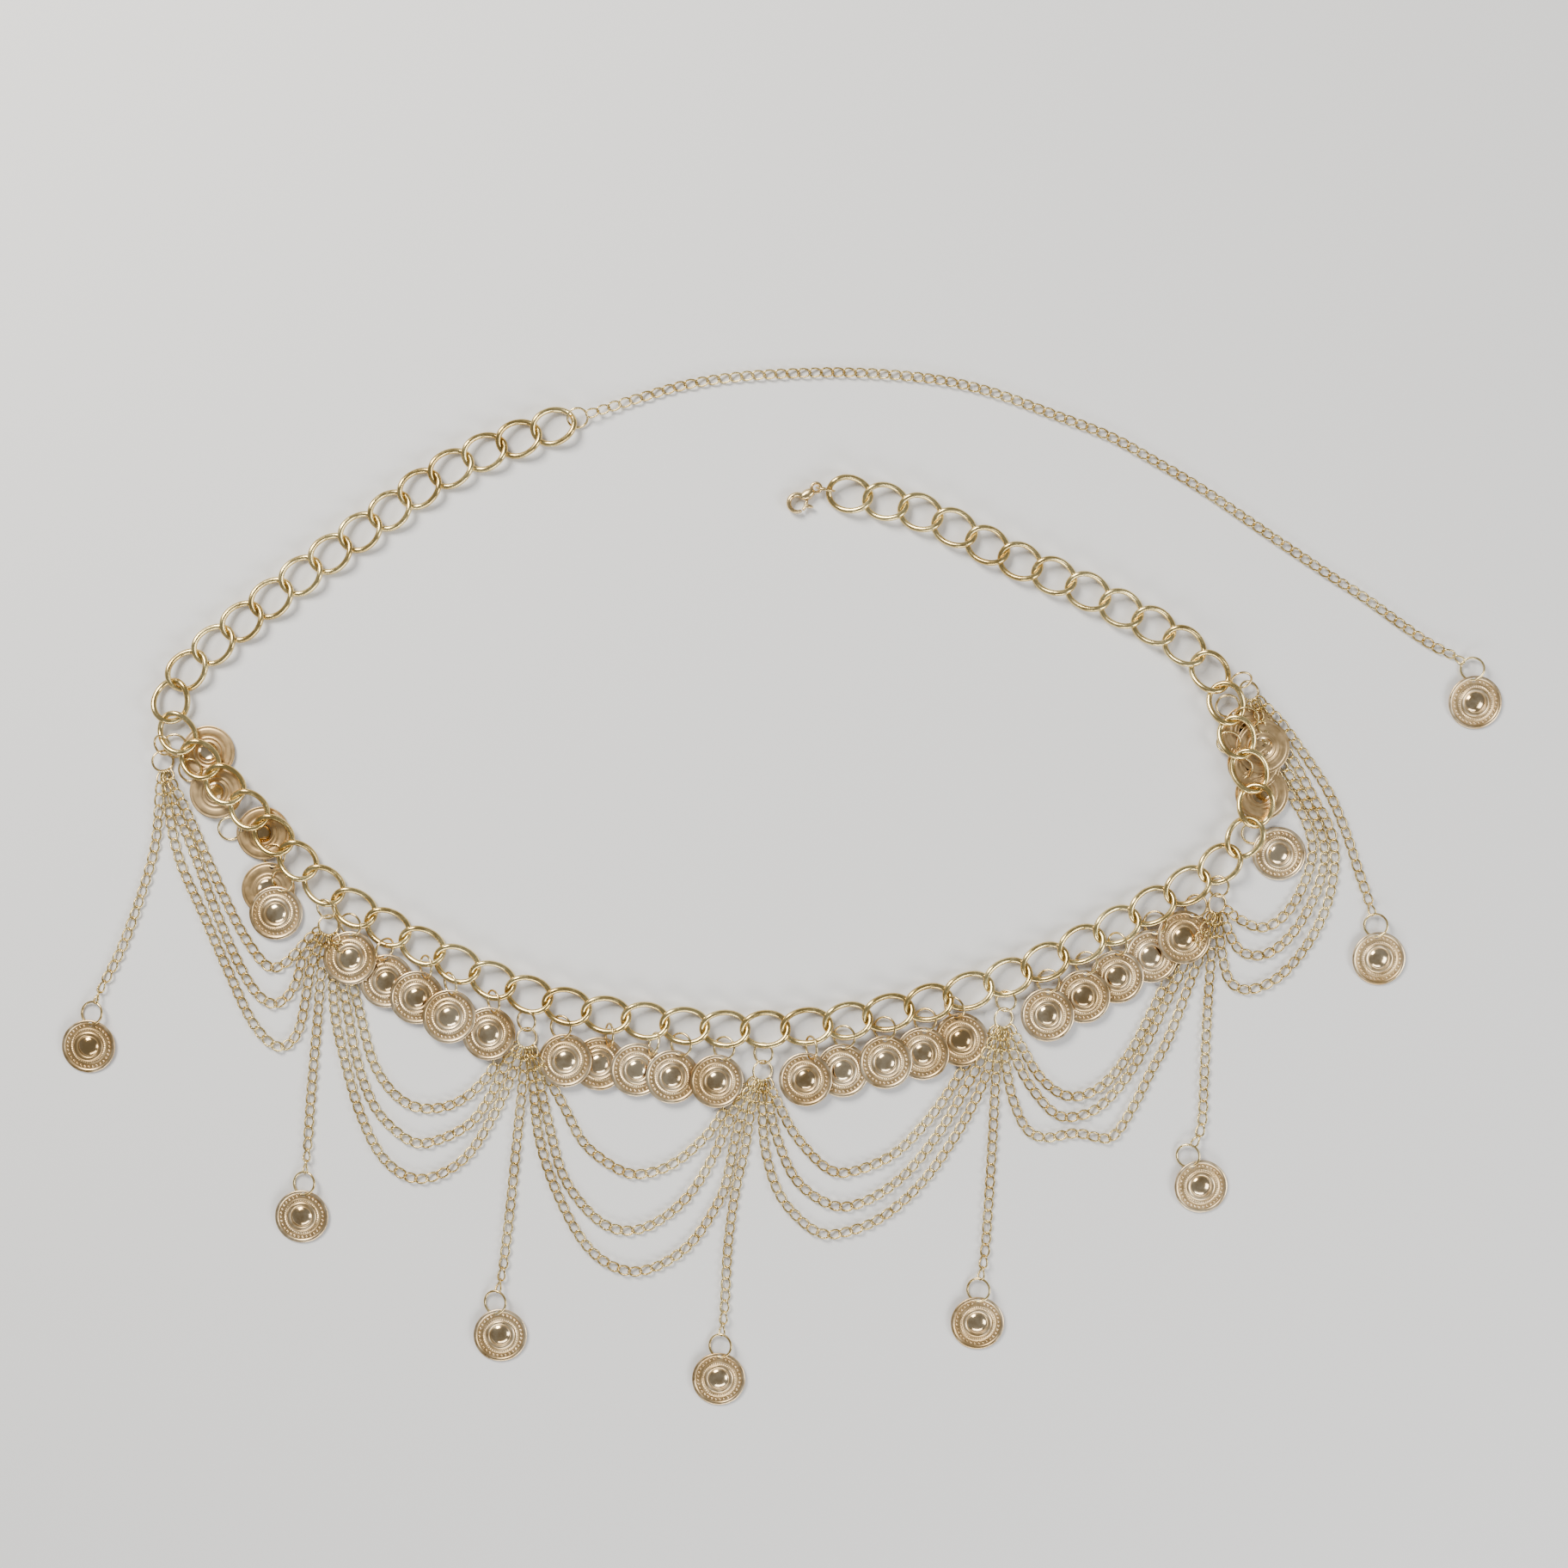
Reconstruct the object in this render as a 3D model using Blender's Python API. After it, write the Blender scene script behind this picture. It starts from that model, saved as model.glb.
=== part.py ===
# Waist chain laid flat: heavy curb chain, coin rows, thin festoon chains, drops and an extension.
# Routes are read by eye off the photograph in its pixels and turned into metres by one scale.
import math

import bmesh
import bpy
import numpy as np
from mathutils import Matrix, Vector

# Real sizes in metres
COIN_RADIUS = 0.0090
COIN_PLATE = 0.0010
DOME_RADIUS = 0.0033
DOME_HEIGHT = 0.0008
LINK_PITCH = 0.0131
LINK_HALF_WIDTH = 0.0056
LINK_WIRE = 0.00195
LINK_TWIST = 0.00125
LINK_BITE = 0.00018
REST_CLEARANCE = 0.00003
SEAM = 0.0003
CHAIN_PLAY = 0.0010
CLASP_PLAY = 0.0006
RING_RADIUS = 0.0038
RING_WIRE = 0.0008
RING_INSET = 0.0020
RING_TILTS = [math.radians(degrees) for degrees in (6, 12, 18, 24, 30)]
RING_ROOM = 0.00008
CROWDING_COST = 4e4
END_RING_TILT = math.radians(20)
THIN_WIDTH = 0.0027
THIN_HEIGHT = 0.0011
THIN_SLACK = 0.00022
THIN_TAPER = 0.0032
SWING_ROOM = 0.0006
DENSE_STEP = 0.0004
ROOT_START = 0.0024
ROOT_SHORTEST = 0.0060
ROOT_LONGEST = 0.0240
HUB_RING_RADIUS = 0.0034
HUB_RING_LOW = 0.0014
HUB_RING_FLAT = 0.0009
HUB_NEAREST = 0.0036
HUB_FARTHEST = 0.0060
RING_SWING = 0.5
COIN_STEP = 0.00035
ROW_SPACING = 0.0130
LAYERS = ("inner", "middle", "outer")
HOLE_RADIUS = 0.84 * COIN_RADIUS

# Scale of the photograph: one coin is 62 pixels wide
PIXEL = 2 * COIN_RADIUS / 62.0
CENTRE_X = 909.7
CENTRE_Y = 1031.6

# Mesh fineness
LINK_STEPS = 10
LINK_SIDES = 4
RING_STEPS = 7
RING_SIDES = 3
COIN_STEPS = 13

# Heavy chain from the clasp to the extension: x and y in pixels, lift in millimetres
MAIN_ROUTE = [
    (966, 571, 0.0), (992, 576, 0.0), (1036, 585, 0.0), (1079, 599, 0.0), (1130, 625, 0.0),
    (1183, 653, 0.0), (1226, 670, 0.0), (1267, 689, 0.0), (1308, 711, 0.0), (1345, 729, 0.0),
    (1375, 750, 0.5), (1408, 780, 1.3), (1425, 816, 2.2), (1434, 858, 2.7), (1452, 896, 2.7),
    (1462, 933, 2.4), (1450, 972, 1.8), (1420, 1005, 0.7), (1381, 1030, 0.0), (1300, 1076, 0.0),
    (1216, 1119, 0.0), (1126, 1153, 0.0), (1033, 1178, 0.0), (940, 1194, 0.0), (843, 1197, 0.0),
    (750, 1187, 0.0), (660, 1171, 0.0), (570, 1139, 0.0), (491, 1100, 0.0), (411, 1056, 0.0),
    (376, 1029, 0.5), (345, 998, 1.4), (314, 965, 2.0), (285, 935, 2.2), (256, 904, 2.2),
    (226, 876, 2.0), (202, 850, 1.5), (196, 818, 0.8), (212, 785, 0.2), (247, 753, 0.0),
    (308, 703, 0.0), (379, 649, 0.0), (451, 597, 0.0), (506, 556, 0.0), (561, 527, 0.0),
    (604, 511, 0.0), (666, 489, 0.0),
]
STRETCHES = 6
LAST_HUB = 7
LINKS_FROM_CLASP = 11
LINKS_BETWEEN_HUBS = 6
LINKS_TO_EXTENSION = 14

# Hubs: the heavy link, and the ring that gathers seven thin chains, x and y in pixels
HUBS = {
    1: {"link": (200, 861), "ring": (190, 886), "upper": (187, 867)},
    2: {"link": (376, 1030), "ring": (382, 1077)},
    3: {"link": (614, 1158), "ring": (614, 1210)},
    4: {"link": (890, 1198), "ring": (886, 1247)},
    5: {"link": (1173, 1139), "ring": (1166, 1184)},
    6: {"link": (1420, 1006), "ring": (1419, 1054)},
    7: {"link": (1411, 779), "ring": (1455, 808), "upper": (1444, 795)},
}

# Festoon chains between neighbouring hubs: x and y in pixels, hub ends left out
FESTOONS = {
    (1, 2, "inner"): [
        (213, 933), (237, 990), (260, 1042), (282, 1086), (306, 1120), (321, 1127), (340, 1113),
        (360, 1090)],
    (1, 2, "middle"): [
        (204, 940), (222, 983), (246, 1048), (273, 1112), (297, 1154), (321, 1169), (343, 1147),
        (351, 1116), (366, 1096)],
    (1, 2, "outer"): [
        (197, 950), (209, 1002), (236, 1063), (264, 1127), (294, 1190), (324, 1219), (346, 1202),
        (356, 1158), (361, 1125), (371, 1101)],
    (2, 3, "outer"): [
        (386, 1120), (389, 1178), (400, 1230), (419, 1296), (447, 1349), (488, 1372), (539, 1349),
        (576, 1294), (598, 1245)],
    (2, 3, "middle"): [
        (393, 1115), (403, 1172), (416, 1237), (437, 1290), (471, 1324), (497, 1330), (546, 1308),
        (575, 1267), (588, 1238)],
    (2, 3, "inner"): [
        (401, 1110), (417, 1172), (434, 1236), (462, 1276), (494, 1290), (533, 1282), (564, 1256),
        (580, 1232)],
    (3, 4, "outer"): [
        (620, 1262), (627, 1324), (648, 1388), (682, 1449), (722, 1477), (760, 1475), (804, 1446),
        (838, 1394), (847, 1366), (852, 1340), (860, 1305)],
    (3, 4, "middle"): [
        (627, 1255), (639, 1310), (657, 1372), (696, 1420), (733, 1432), (770, 1418), (804, 1387),
        (831, 1343), (853, 1293)],
    (3, 4, "inner"): [
        (634, 1247), (656, 1287), (680, 1331), (720, 1361), (746, 1366), (783, 1354), (823, 1320),
        (846, 1287)],
    (4, 5, "outer"): [
        (887, 1300), (891, 1342), (908, 1392), (943, 1429), (971, 1436), (1023, 1418), (1073, 1375),
        (1114, 1317), (1142, 1263)],
    (4, 5, "middle"): [
        (896, 1290), (904, 1324), (927, 1374), (970, 1403), (1010, 1396), (1054, 1365), (1096, 1312),
        (1130, 1253)],
    (4, 5, "inner"): [
        (903, 1278), (924, 1319), (960, 1358), (987, 1364), (1038, 1344), (1077, 1306), (1105, 1268),
        (1121, 1242)],
    (5, 6, "outer"): [
        (1170, 1237), (1178, 1278), (1195, 1315), (1218, 1324), (1247, 1318), (1270, 1321),
        (1293, 1324), (1318, 1288), (1339, 1246), (1360, 1206), (1380, 1154), (1396, 1112)],
    (5, 6, "middle"): [
        (1180, 1228), (1197, 1261), (1227, 1296), (1251, 1299), (1280, 1287), (1315, 1247),
        (1339, 1202), (1364, 1150), (1386, 1105)],
    (5, 6, "inner"): [
        (1188, 1216), (1210, 1253), (1243, 1276), (1281, 1264), (1316, 1222), (1345, 1166),
        (1377, 1100)],
    (6, 7, "outer"): [
        (1421, 1104), (1429, 1140), (1451, 1152), (1487, 1137), (1520, 1100), (1544, 1052),
        (1553, 1000), (1547, 963), (1528, 928), (1506, 887), (1480, 850)],
    (6, 7, "middle"): [
        (1430, 1086), (1443, 1107), (1471, 1111), (1502, 1088), (1528, 1045), (1541, 1000),
        (1535, 963), (1517, 928), (1495, 894), (1471, 857)],
    (6, 7, "inner"): [
        (1436, 1066), (1468, 1080), (1496, 1063), (1516, 1030), (1527, 994), (1522, 962),
        (1505, 930), (1484, 899), (1460, 864)],
}

# Drops from each hub to its end coin: x and y in pixels, hub end left out, then coin and ring centres
DROPS = {
    1: {"route": [(185, 940), (180, 985), (165, 1038), (141, 1104), (116, 1152)],
        "coin": (103, 1217), "ring": (107, 1181)},
    2: {"route": [(374, 1130), (369, 1190), (362, 1270), (358, 1330)],
        "coin": (351, 1415), "ring": (354, 1377)},
    3: {"route": [(608, 1262), (602, 1320), (593, 1410), (585, 1475)],
        "coin": (582, 1553), "ring": (576, 1513)},
    4: {"route": [(873, 1295), (867, 1335), (861, 1360), (855, 1388), (849, 1430), (846, 1460),
                  (843, 1520)],
        "coin": (836, 1604), "ring": (838, 1562)},
    5: {"route": [(1159, 1240), (1155, 1320), (1150, 1400), (1146, 1455)],
        "coin": (1137, 1539), "ring": (1138, 1499)},
    6: {"route": [(1409, 1110), (1405, 1170), (1401, 1250), (1398, 1310)],
        "coin": (1397, 1380), "ring": (1385, 1352)},
    7: {"route": [(1490, 840), (1519, 880), (1545, 920), (1565, 966), (1581, 1015), (1590, 1040)],
        "coin": (1604, 1115), "ring": (1600, 1077)},
}
EXTENSION = {
    "route": [
        (697, 481), (750, 461), (800, 447), (860, 438), (925, 434), (985, 433), (1040, 436),
        (1100, 443), (1160, 458), (1220, 480), (1290, 507), (1350, 540), (1400, 570), (1450, 604),
        (1500, 638), (1545, 668), (1590, 697), (1630, 726), (1665, 750), (1690, 762)],
    "coin": (1716, 817),
    "ring": (1712, 776),
}

# Coin rows by hub, outside the chain: centre in pixels, 1 where the coin lies over the next one
COIN_ROWS = {
    2: [(408, 1113, 1), (450, 1140, 0), (486, 1160, 0), (523, 1183, 1), (568, 1202, 0)],
    3: [(656, 1233, 1), (697, 1237, 0), (741, 1245, 0), (782, 1252, 0), (833, 1256, 0)],
    4: [(937, 1255, 1), (981, 1246, 0), (1029, 1237, 1), (1075, 1226, 0), (1119, 1209, 0)],
    5: [(1218, 1180, 1), (1260, 1159, 1), (1300, 1137, 1), (1344, 1114, 0), (1380, 1090, 0)],
}
ROW_REST = [0.0022, 0.0020, 0.0018, 0.0020, 0.0022]

# Coins that lie under or beside the chain: coin and ring centres in pixels, heights of the plate's
# and the ring's middle in millimetres, and whether the dome faces up
LOOSE_COINS = {
    "coins_1_upper": [
        {"coin": (242, 875), "ring": (217, 870), "height": 0.5, "ring_height": 0.45, "dome": False},
        {"coin": (252, 921), "ring": (222, 896), "height": 1.15, "ring_height": 1.0, "dome": False}],
    "coins_1_lower": [
        {"coin": (306, 969), "ring": (269, 964), "height": 0.5, "ring_height": 0.5, "dome": False},
        {"coin": (312, 1034), "ring": (318, 1000), "height": 0.5, "ring_height": 0.6, "dome": False},
        {"coin": (321, 1062), "ring": (329, 1024), "height": 1.2, "ring_height": 0.7, "dome": True}],
    "coins_6_upper": [
        {"coin": (1452, 851), "ring": (1430, 825), "height": 1.65, "ring_height": 1.6, "dome": False},
        {"coin": (1468, 869), "ring": (1450, 838), "height": 2.05, "ring_height": 1.9, "dome": False},
        {"coin": (1458, 888), "ring": (1431, 866), "height": 1.65, "ring_height": 1.6, "dome": False},
        {"coin": (1467, 923), "ring": (1445, 897), "height": 1.63, "ring_height": 1.5, "dome": False}],
    "coins_6_lower": [
        {"coin": (1488, 993), "ring": (1461, 971), "height": 0.5, "ring_height": 0.5, "dome": False}],
}

# Clasp sizes in metres and its place in pixels
CLASP_EYE = (951, 575)
CLASP_AIM = (930, 592)
CLASP_HEIGHT = 0.0030
CLASP_BAR = 0.0016
CLASP_HOOK_RADIUS = 0.0029
CLASP_HOOK_REACH = 0.0082
CLASP_EYE_RADIUS = 0.0016
CLASP_EYE_WIRE = 0.0011
CLASP_EYE_HEIGHT = 0.0021
CLASP_PIVOT = (0.0017, 0.0055)
LEVER_BAR = 0.0010
LEVER_HEIGHT = 0.0016
LEVER_LOW = 0.0008
CLASP_RING_LENGTH = 0.0031
CLASP_RING_HEIGHT = 0.0025
CLASP_RING_WIRE = 0.0007


def clear_scene():
    for old in list(bpy.data.objects):
        bpy.data.objects.remove(old, do_unlink=True)


def make_metal(name, colour, roughness):
    metal = bpy.data.materials.new(name)
    metal.use_nodes = True
    shader = metal.node_tree.nodes["Principled BSDF"]
    shader.inputs["Base Color"].default_value = (*colour, 1.0)
    shader.inputs["Roughness"].default_value = roughness
    shader.inputs["Metallic"].default_value = 1.0
    return metal


def place(x, y, lift=0.0):
    """A point of the photograph, and a height in millimetres, as metres in the part's frame."""
    return Vector(((x - CENTRE_X) * PIXEL, (CENTRE_Y - y) * PIXEL, lift * 0.001))


def finish(mesh, name, metal):
    bmesh.ops.remove_doubles(mesh, verts=mesh.verts, dist=0.00001)
    bmesh.ops.recalc_face_normals(mesh, faces=mesh.faces)
    data = bpy.data.meshes.new(name)
    mesh.to_mesh(data)
    mesh.free()
    data.materials.append(metal)
    data.shade_smooth()
    data.set_sharp_from_angle(angle=math.radians(40))
    thing = bpy.data.objects.new(name, data)
    bpy.context.scene.collection.objects.link(thing)
    return thing


def fuse(pieces, name):
    """Join closed shapes into one body: the first keeps the name, the others are cutters."""
    base = pieces[0]
    base.name = name
    for number, other in enumerate(pieces[1:]):
        other.name = "{}_join_{}".format(name, number)
        other.hide_render = True
        other.display_type = "WIRE"
        join = base.modifiers.new("Join {}".format(number), "BOOLEAN")
        join.operation = "UNION"
        join.solver = "EXACT"
        join.object = other
    return base


def smooth_route(points, step):
    """Even points along a smooth curve through the given ones."""
    padded = [2 * points[0] - points[1]] + list(points) + [2 * points[-1] - points[-2]]
    fine = []
    for before, start, end, after in zip(padded, padded[1:], padded[2:], padded[3:]):
        for part in range(16):
            t = part / 16.0
            fine.append(0.5 * (2 * start + (end - before) * t
                               + (2 * before - 5 * start + 4 * end - after) * t * t
                               + (3 * start - before - 3 * end + after) * t ** 3))
    fine.append(points[-1].copy())
    lengths = [0.0]
    for start, end in zip(fine, fine[1:]):
        lengths.append(lengths[-1] + (end - start).length)
    count = max(2, round(lengths[-1] / step))
    even = []
    index = 0
    for number in range(count + 1):
        goal = lengths[-1] * number / count
        while index < len(fine) - 2 and lengths[index + 1] < goal:
            index += 1
        span = lengths[index + 1] - lengths[index]
        even.append(fine[index].lerp(fine[index + 1], (goal - lengths[index]) / span))
    return even


def wire_ring(mesh, half_length, half_width, wire, twist, steps, sides, matrix):
    """An oval ring of round wire; a twist makes a curb link's saddle form."""
    start = bmesh.ops.create_circle(mesh, segments=sides, radius=wire / 2,
                                    matrix=Matrix.Translation((1, 0, 0)) @ Matrix.Rotation(math.pi / 2, 4, "X"))
    edges = list({edge for vert in start["verts"] for edge in vert.link_edges})
    bmesh.ops.spin(mesh, geom=start["verts"] + edges, cent=(0, 0, 0), axis=(0, 0, 1),
                   angle=2 * math.pi, steps=steps, use_merge=True)
    for vert in mesh.verts:
        angle = math.atan2(vert.co.y, vert.co.x)
        out = math.hypot(vert.co.x, vert.co.y) - 1.0
        normal = Vector((half_width * math.cos(angle), half_length * math.sin(angle))).normalized()
        vert.co = matrix @ Vector((
            half_length * math.cos(angle) + out * normal.x,
            half_width * math.sin(angle) + out * normal.y,
            vert.co.z - twist * math.sin(2 * angle)))


def ring_object(name, half_length, half_width, wire, twist, matrix, metal, fine=False):
    mesh = bmesh.new()
    steps = LINK_STEPS if fine else RING_STEPS
    sides = LINK_SIDES if fine else RING_SIDES
    wire_ring(mesh, half_length, half_width, wire, twist, steps, sides, matrix)
    return finish(mesh, name, metal)


def coin_object(name, matrix, metal, dome=True):
    """A round plate, with a polished dome on the side that faces up."""
    profile = [(0, -COIN_PLATE / 2), (COIN_RADIUS, -COIN_PLATE / 2), (COIN_RADIUS, COIN_PLATE / 2)]
    if dome:
        profile.append((DOME_RADIUS, COIN_PLATE / 2))
        profile.append((0, COIN_PLATE / 2 + DOME_HEIGHT))
    else:
        profile.append((0, COIN_PLATE / 2))
    mesh = bmesh.new()
    verts = [mesh.verts.new((x, 0, z)) for x, z in profile]
    edges = [mesh.edges.new(pair) for pair in zip(verts, verts[1:])]
    bmesh.ops.spin(mesh, geom=verts + edges, cent=(0, 0, 0), axis=(0, 0, 1),
                   angle=2 * math.pi, steps=COIN_STEPS, use_merge=True)
    bmesh.ops.transform(mesh, matrix=matrix, verts=mesh.verts)
    return finish(mesh, name, metal)


def band_object(name, sections, metal):
    """A closed bar through sections of centre, width, height and side direction."""
    mesh = bmesh.new()
    last_edges = []
    for centre, side, width, height in sections:
        corners = [
            centre + side * width / 2, centre + side * width / 2 + Vector((0, 0, height)),
            centre - side * width / 2 + Vector((0, 0, height)), centre - side * width / 2]
        ring = [mesh.verts.new(corner) for corner in corners]
        edges = [mesh.edges.new((ring[turn - 1], ring[turn])) for turn in range(4)]
        if last_edges:
            bmesh.ops.bridge_loops(mesh, edges=last_edges + edges)
        else:
            mesh.faces.new(ring)
        last_edges = edges
    mesh.faces.new(ring)
    return finish(mesh, name, metal)


def flat_band(name, points, width, height, metal, end_width=None):
    """A band that lies flat along a route, mitred at its bends, with its last end as wide as asked."""
    sections = []
    for index, point in enumerate(points):
        before = points[max(index - 1, 0)]
        after = points[min(index + 1, len(points) - 1)]
        along = after - before
        side = Vector((along.y, -along.x, 0)).normalized()
        at_end = end_width and index == len(points) - 1
        sections.append((point, side, end_width if at_end else width, height))
    return band_object(name, sections, metal)


def frame_matrix(centre, along, side):
    """A matrix whose X runs along, Y towards side and Z up."""
    x_axis = along.normalized()
    z_axis = x_axis.cross(side).normalized()
    y_axis = z_axis.cross(x_axis)
    return Matrix.Translation(centre) @ Matrix((x_axis, y_axis, z_axis)).transposed().to_4x4()


def chain_places():
    """Links along the heavy chain in travel order: a matrix and a half length for each.

    A link is centred at each hub, with the same number of links between neighbouring hubs."""
    rest = LINK_TWIST + LINK_WIRE / 2 + REST_CLEARANCE
    points = [place(x, y, lift) + Vector((0, 0, rest)) for x, y, lift in MAIN_ROUTE]
    fine = smooth_route(points, DENSE_STEP)
    marks = [LINK_PITCH / 2 / DENSE_STEP]
    for number in sorted(HUBS, reverse=True):
        hub = place(*HUBS[number]["link"])
        marks.append(min(range(len(fine)), key=lambda index: (fine[index].xy - hub.xy).length))
    marks.append(len(fine) - 1 - LINK_PITCH / 2 / DENSE_STEP)
    counts = [LINKS_FROM_CLASP] + [LINKS_BETWEEN_HUBS] * (LAST_HUB - 1) + [LINKS_TO_EXTENSION]
    stops = []
    for start, end, count in zip(marks, marks[1:], counts):
        stops += [start + (end - start) * step / count for step in range(count)]
    stops.append(marks[-1])
    joints = [(before + after) / 2 for before, after in zip(stops, stops[1:])]
    joints = [2 * stops[0] - joints[0]] + joints + [2 * stops[-1] - joints[-1]]
    ends = [fine[max(0, min(len(fine) - 1, round(joint)))] for joint in joints]
    links = []
    for start, end in zip(ends, ends[1:]):
        along = end - start
        matrix = frame_matrix((start + end) / 2, along, Vector((-along.y, along.x, 0)))
        links.append({"matrix": matrix, "half": (along.length + LINK_WIRE - LINK_BITE) / 2})
    return links


def heavy_chain(metal):
    """Stretches of fused links; a seam parts each stretch from the next."""
    links = chain_places()
    size = len(links) / STRETCHES
    for number in range(STRETCHES):
        first = round(number * size)
        last = round((number + 1) * size)
        halves = []
        for parity in range(2):
            mesh = bmesh.new()
            for index in range(first + parity, last, 2):
                single = bmesh.new()
                longer = (CHAIN_PLAY + LINK_BITE) / 2 if index == first and number > 0 else 0.0
                matrix = links[index]["matrix"] @ Matrix.Translation((-longer, 0, 0))
                wire_ring(single, links[index]["half"] + longer, LINK_HALF_WIDTH, LINK_WIRE, LINK_TWIST,
                          LINK_STEPS, LINK_SIDES, matrix)
                data = bpy.data.meshes.new("link")
                single.to_mesh(data)
                single.free()
                mesh.from_mesh(data)
                bpy.data.meshes.remove(data)
            halves.append(finish(mesh, "links", metal))
        fuse(halves, "main_chain_{}".format(number + 1))
    return links


def loop_points(matrix, half_length, half_width, twist, steps):
    """Points along the straight runs between the corners of a coarse ring, as rows of an array."""
    corners = []
    for step in range(steps + 1):
        angle = 2 * math.pi * step / steps
        corners.append(matrix @ Vector((half_length * math.cos(angle), half_width * math.sin(angle),
                                        -twist * math.sin(2 * angle))))
    return np.array([start.lerp(end, part / 5) for start, end in zip(corners, corners[1:])
                     for part in range(5)])


def ring_seat(links, index, goal, radius):
    """The matrix of a jump ring on a link's outer side, clear of the wires and closest to its goal.

    Tries places along the wire, swings and tilts. The ring's far side is as high as the goal."""
    link = links[index]
    wires = np.concatenate([
        loop_points(other["matrix"], other["half"], LINK_HALF_WIDTH, LINK_TWIST, LINK_STEPS)
        for other in links[max(index - 2, 0):index + 3]])
    best = None
    for degrees in range(65, 131, 5):
        phase = math.radians(degrees)
        foot = link["matrix"] @ Vector((link["half"] * math.cos(phase), LINK_HALF_WIDTH * math.sin(phase),
                                        -LINK_TWIST * math.sin(2 * phase)))
        normal = Vector((LINK_HALF_WIDTH * math.cos(phase), link["half"] * math.sin(phase), 0))
        normal = (link["matrix"].to_3x3() @ normal).xy.normalized()
        for swing in np.linspace(-RING_SWING, RING_SWING, 7):
            out = (Matrix.Rotation(swing, 2) @ normal).to_3d()
            for tilt in RING_TILTS:
                matrix = ring_matrix(foot, out, foot.z - goal.z, radius, tilt)
                ring = loop_points(matrix, radius, radius, 0.0, RING_STEPS)
                gaps = np.linalg.norm(ring[:, None] - wires[None], axis=2)
                room = min(gaps.min() - (LINK_WIRE + RING_WIRE) / 2, ring[:, 2].min() - RING_WIRE / 2)
                miss = abs(out.xy.angle_signed((goal - foot).xy))
                score = miss + max(0.0, RING_ROOM - room) * CROWDING_COST
                if best is None or score < best[0]:
                    best = (score, matrix)
    return best[1]


def hub_link(number):
    """The number of the heavy link at a hub."""
    return LINKS_FROM_CLASP + LINKS_BETWEEN_HUBS * (LAST_HUB - number)


def ring_matrix(foot, out, drop, radius, tilt):
    """The matrix of a jump ring round a link's wire, whose far side is lower by the drop."""
    along = Vector((out.y, -out.x, math.tan(tilt)))
    across = out * math.sqrt(radius ** 2 - (drop / 2) ** 2) - Vector((0, 0, drop / 2))
    return frame_matrix(foot - out * RING_INSET + across, along, across)


def coin_row(hub, row, links, metals):
    """Coins that lap over each other, each with a ring round its own link before the hub."""
    pieces = []
    for index, (x, y, over_next) in enumerate(row):
        link = hub_link(hub) - 1 - index
        left = 0.0
        right = 0.0
        if index > 0:
            left = -COIN_STEP if row[index - 1][2] else COIN_STEP
        if index < len(row) - 1:
            right = COIN_STEP if over_next else -COIN_STEP
        other = row[index + 1] if index < len(row) - 1 else row[index - 1]
        way = (place(*other[:2]) - place(x, y)).normalized() * (1 if index < len(row) - 1 else -1)
        lean = Matrix.Rotation(math.atan2(right - left, ROW_SPACING), 4, Vector((way.y, -way.x, 0)))
        centre = place(x, y) + Vector((0, 0, ROW_REST[index] + (left + right) / 2))
        pieces.append(coin_object("coin", Matrix.Translation(centre) @ lean, metals["coin"]))
        matrix = ring_seat(links, link, centre, RING_RADIUS)
        pieces.append(ring_object("ring", RING_RADIUS, RING_RADIUS, RING_WIRE, 0.0, matrix, metals["wire"]))
    return fuse(pieces, "coin_row_{}".format(hub))


def loose_coins(name, rows, metals):
    """Coins that lie under or beside the chain, each with its ring flat on it."""
    pieces = []
    for row in rows:
        centre = place(*row["coin"], row["height"])
        pieces.append(coin_object("coin", Matrix.Translation(centre), metals["coin"], row["dome"]))
        spot = place(*row["ring"], row["ring_height"])
        pieces.append(ring_object("ring", RING_RADIUS, RING_RADIUS, RING_WIRE, 0.0,
                                  Matrix.Translation(spot), metals["wire"]))
    return fuse(pieces, name)


def end_coin(name, drop, metals):
    """A coin flat on the surface with its ring, and where its thin chain ends."""
    centre = place(*drop["coin"])
    way = (place(*drop["ring"]) - centre).normalized()
    ring_centre = centre + way * (HOLE_RADIUS + RING_RADIUS)
    pieces = [
        coin_object("coin", Matrix.Translation(centre + Vector((0, 0, COIN_PLATE / 2))), metals["coin"]),
        ring_object("ring", RING_RADIUS, RING_RADIUS, RING_WIRE, 0.0,
                    Matrix.Translation(ring_centre + Vector((0, 0, RING_WIRE / 2))), metals["wire"])]
    fuse(pieces, name)
    back = (place(*drop["route"][-1]) - ring_centre).normalized()
    return ring_centre + back * (RING_RADIUS + RING_WIRE / 2 + SWING_ROOM)


def fewer_points(points):
    """The points of a dense route that are enough to keep its bends."""
    start = points[0]
    way = (points[-1] - start).normalized()
    offsets = [(point - start - way * (point - start).dot(way)).length for point in points]
    worst = max(range(len(points)), key=offsets.__getitem__)
    if offsets[worst] < THIN_SLACK:
        return [start, points[-1]]
    return fewer_points(points[:worst + 1])[:-1] + fewer_points(points[worst:])


def thin_chain(name, points, metal, coin=False):
    """A thin chain as a flat band along a dense route, narrower at the end that holds a coin."""
    if not coin:
        return flat_band(name, fewer_points(points), THIN_WIDTH, THIN_HEIGHT, metal)
    taper = round(THIN_TAPER / DENSE_STEP)
    route = fewer_points(points[:-taper]) + [points[-1]]
    return flat_band(name, route, THIN_WIDTH, THIN_HEIGHT, metal, THIN_WIDTH / 2)


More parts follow.
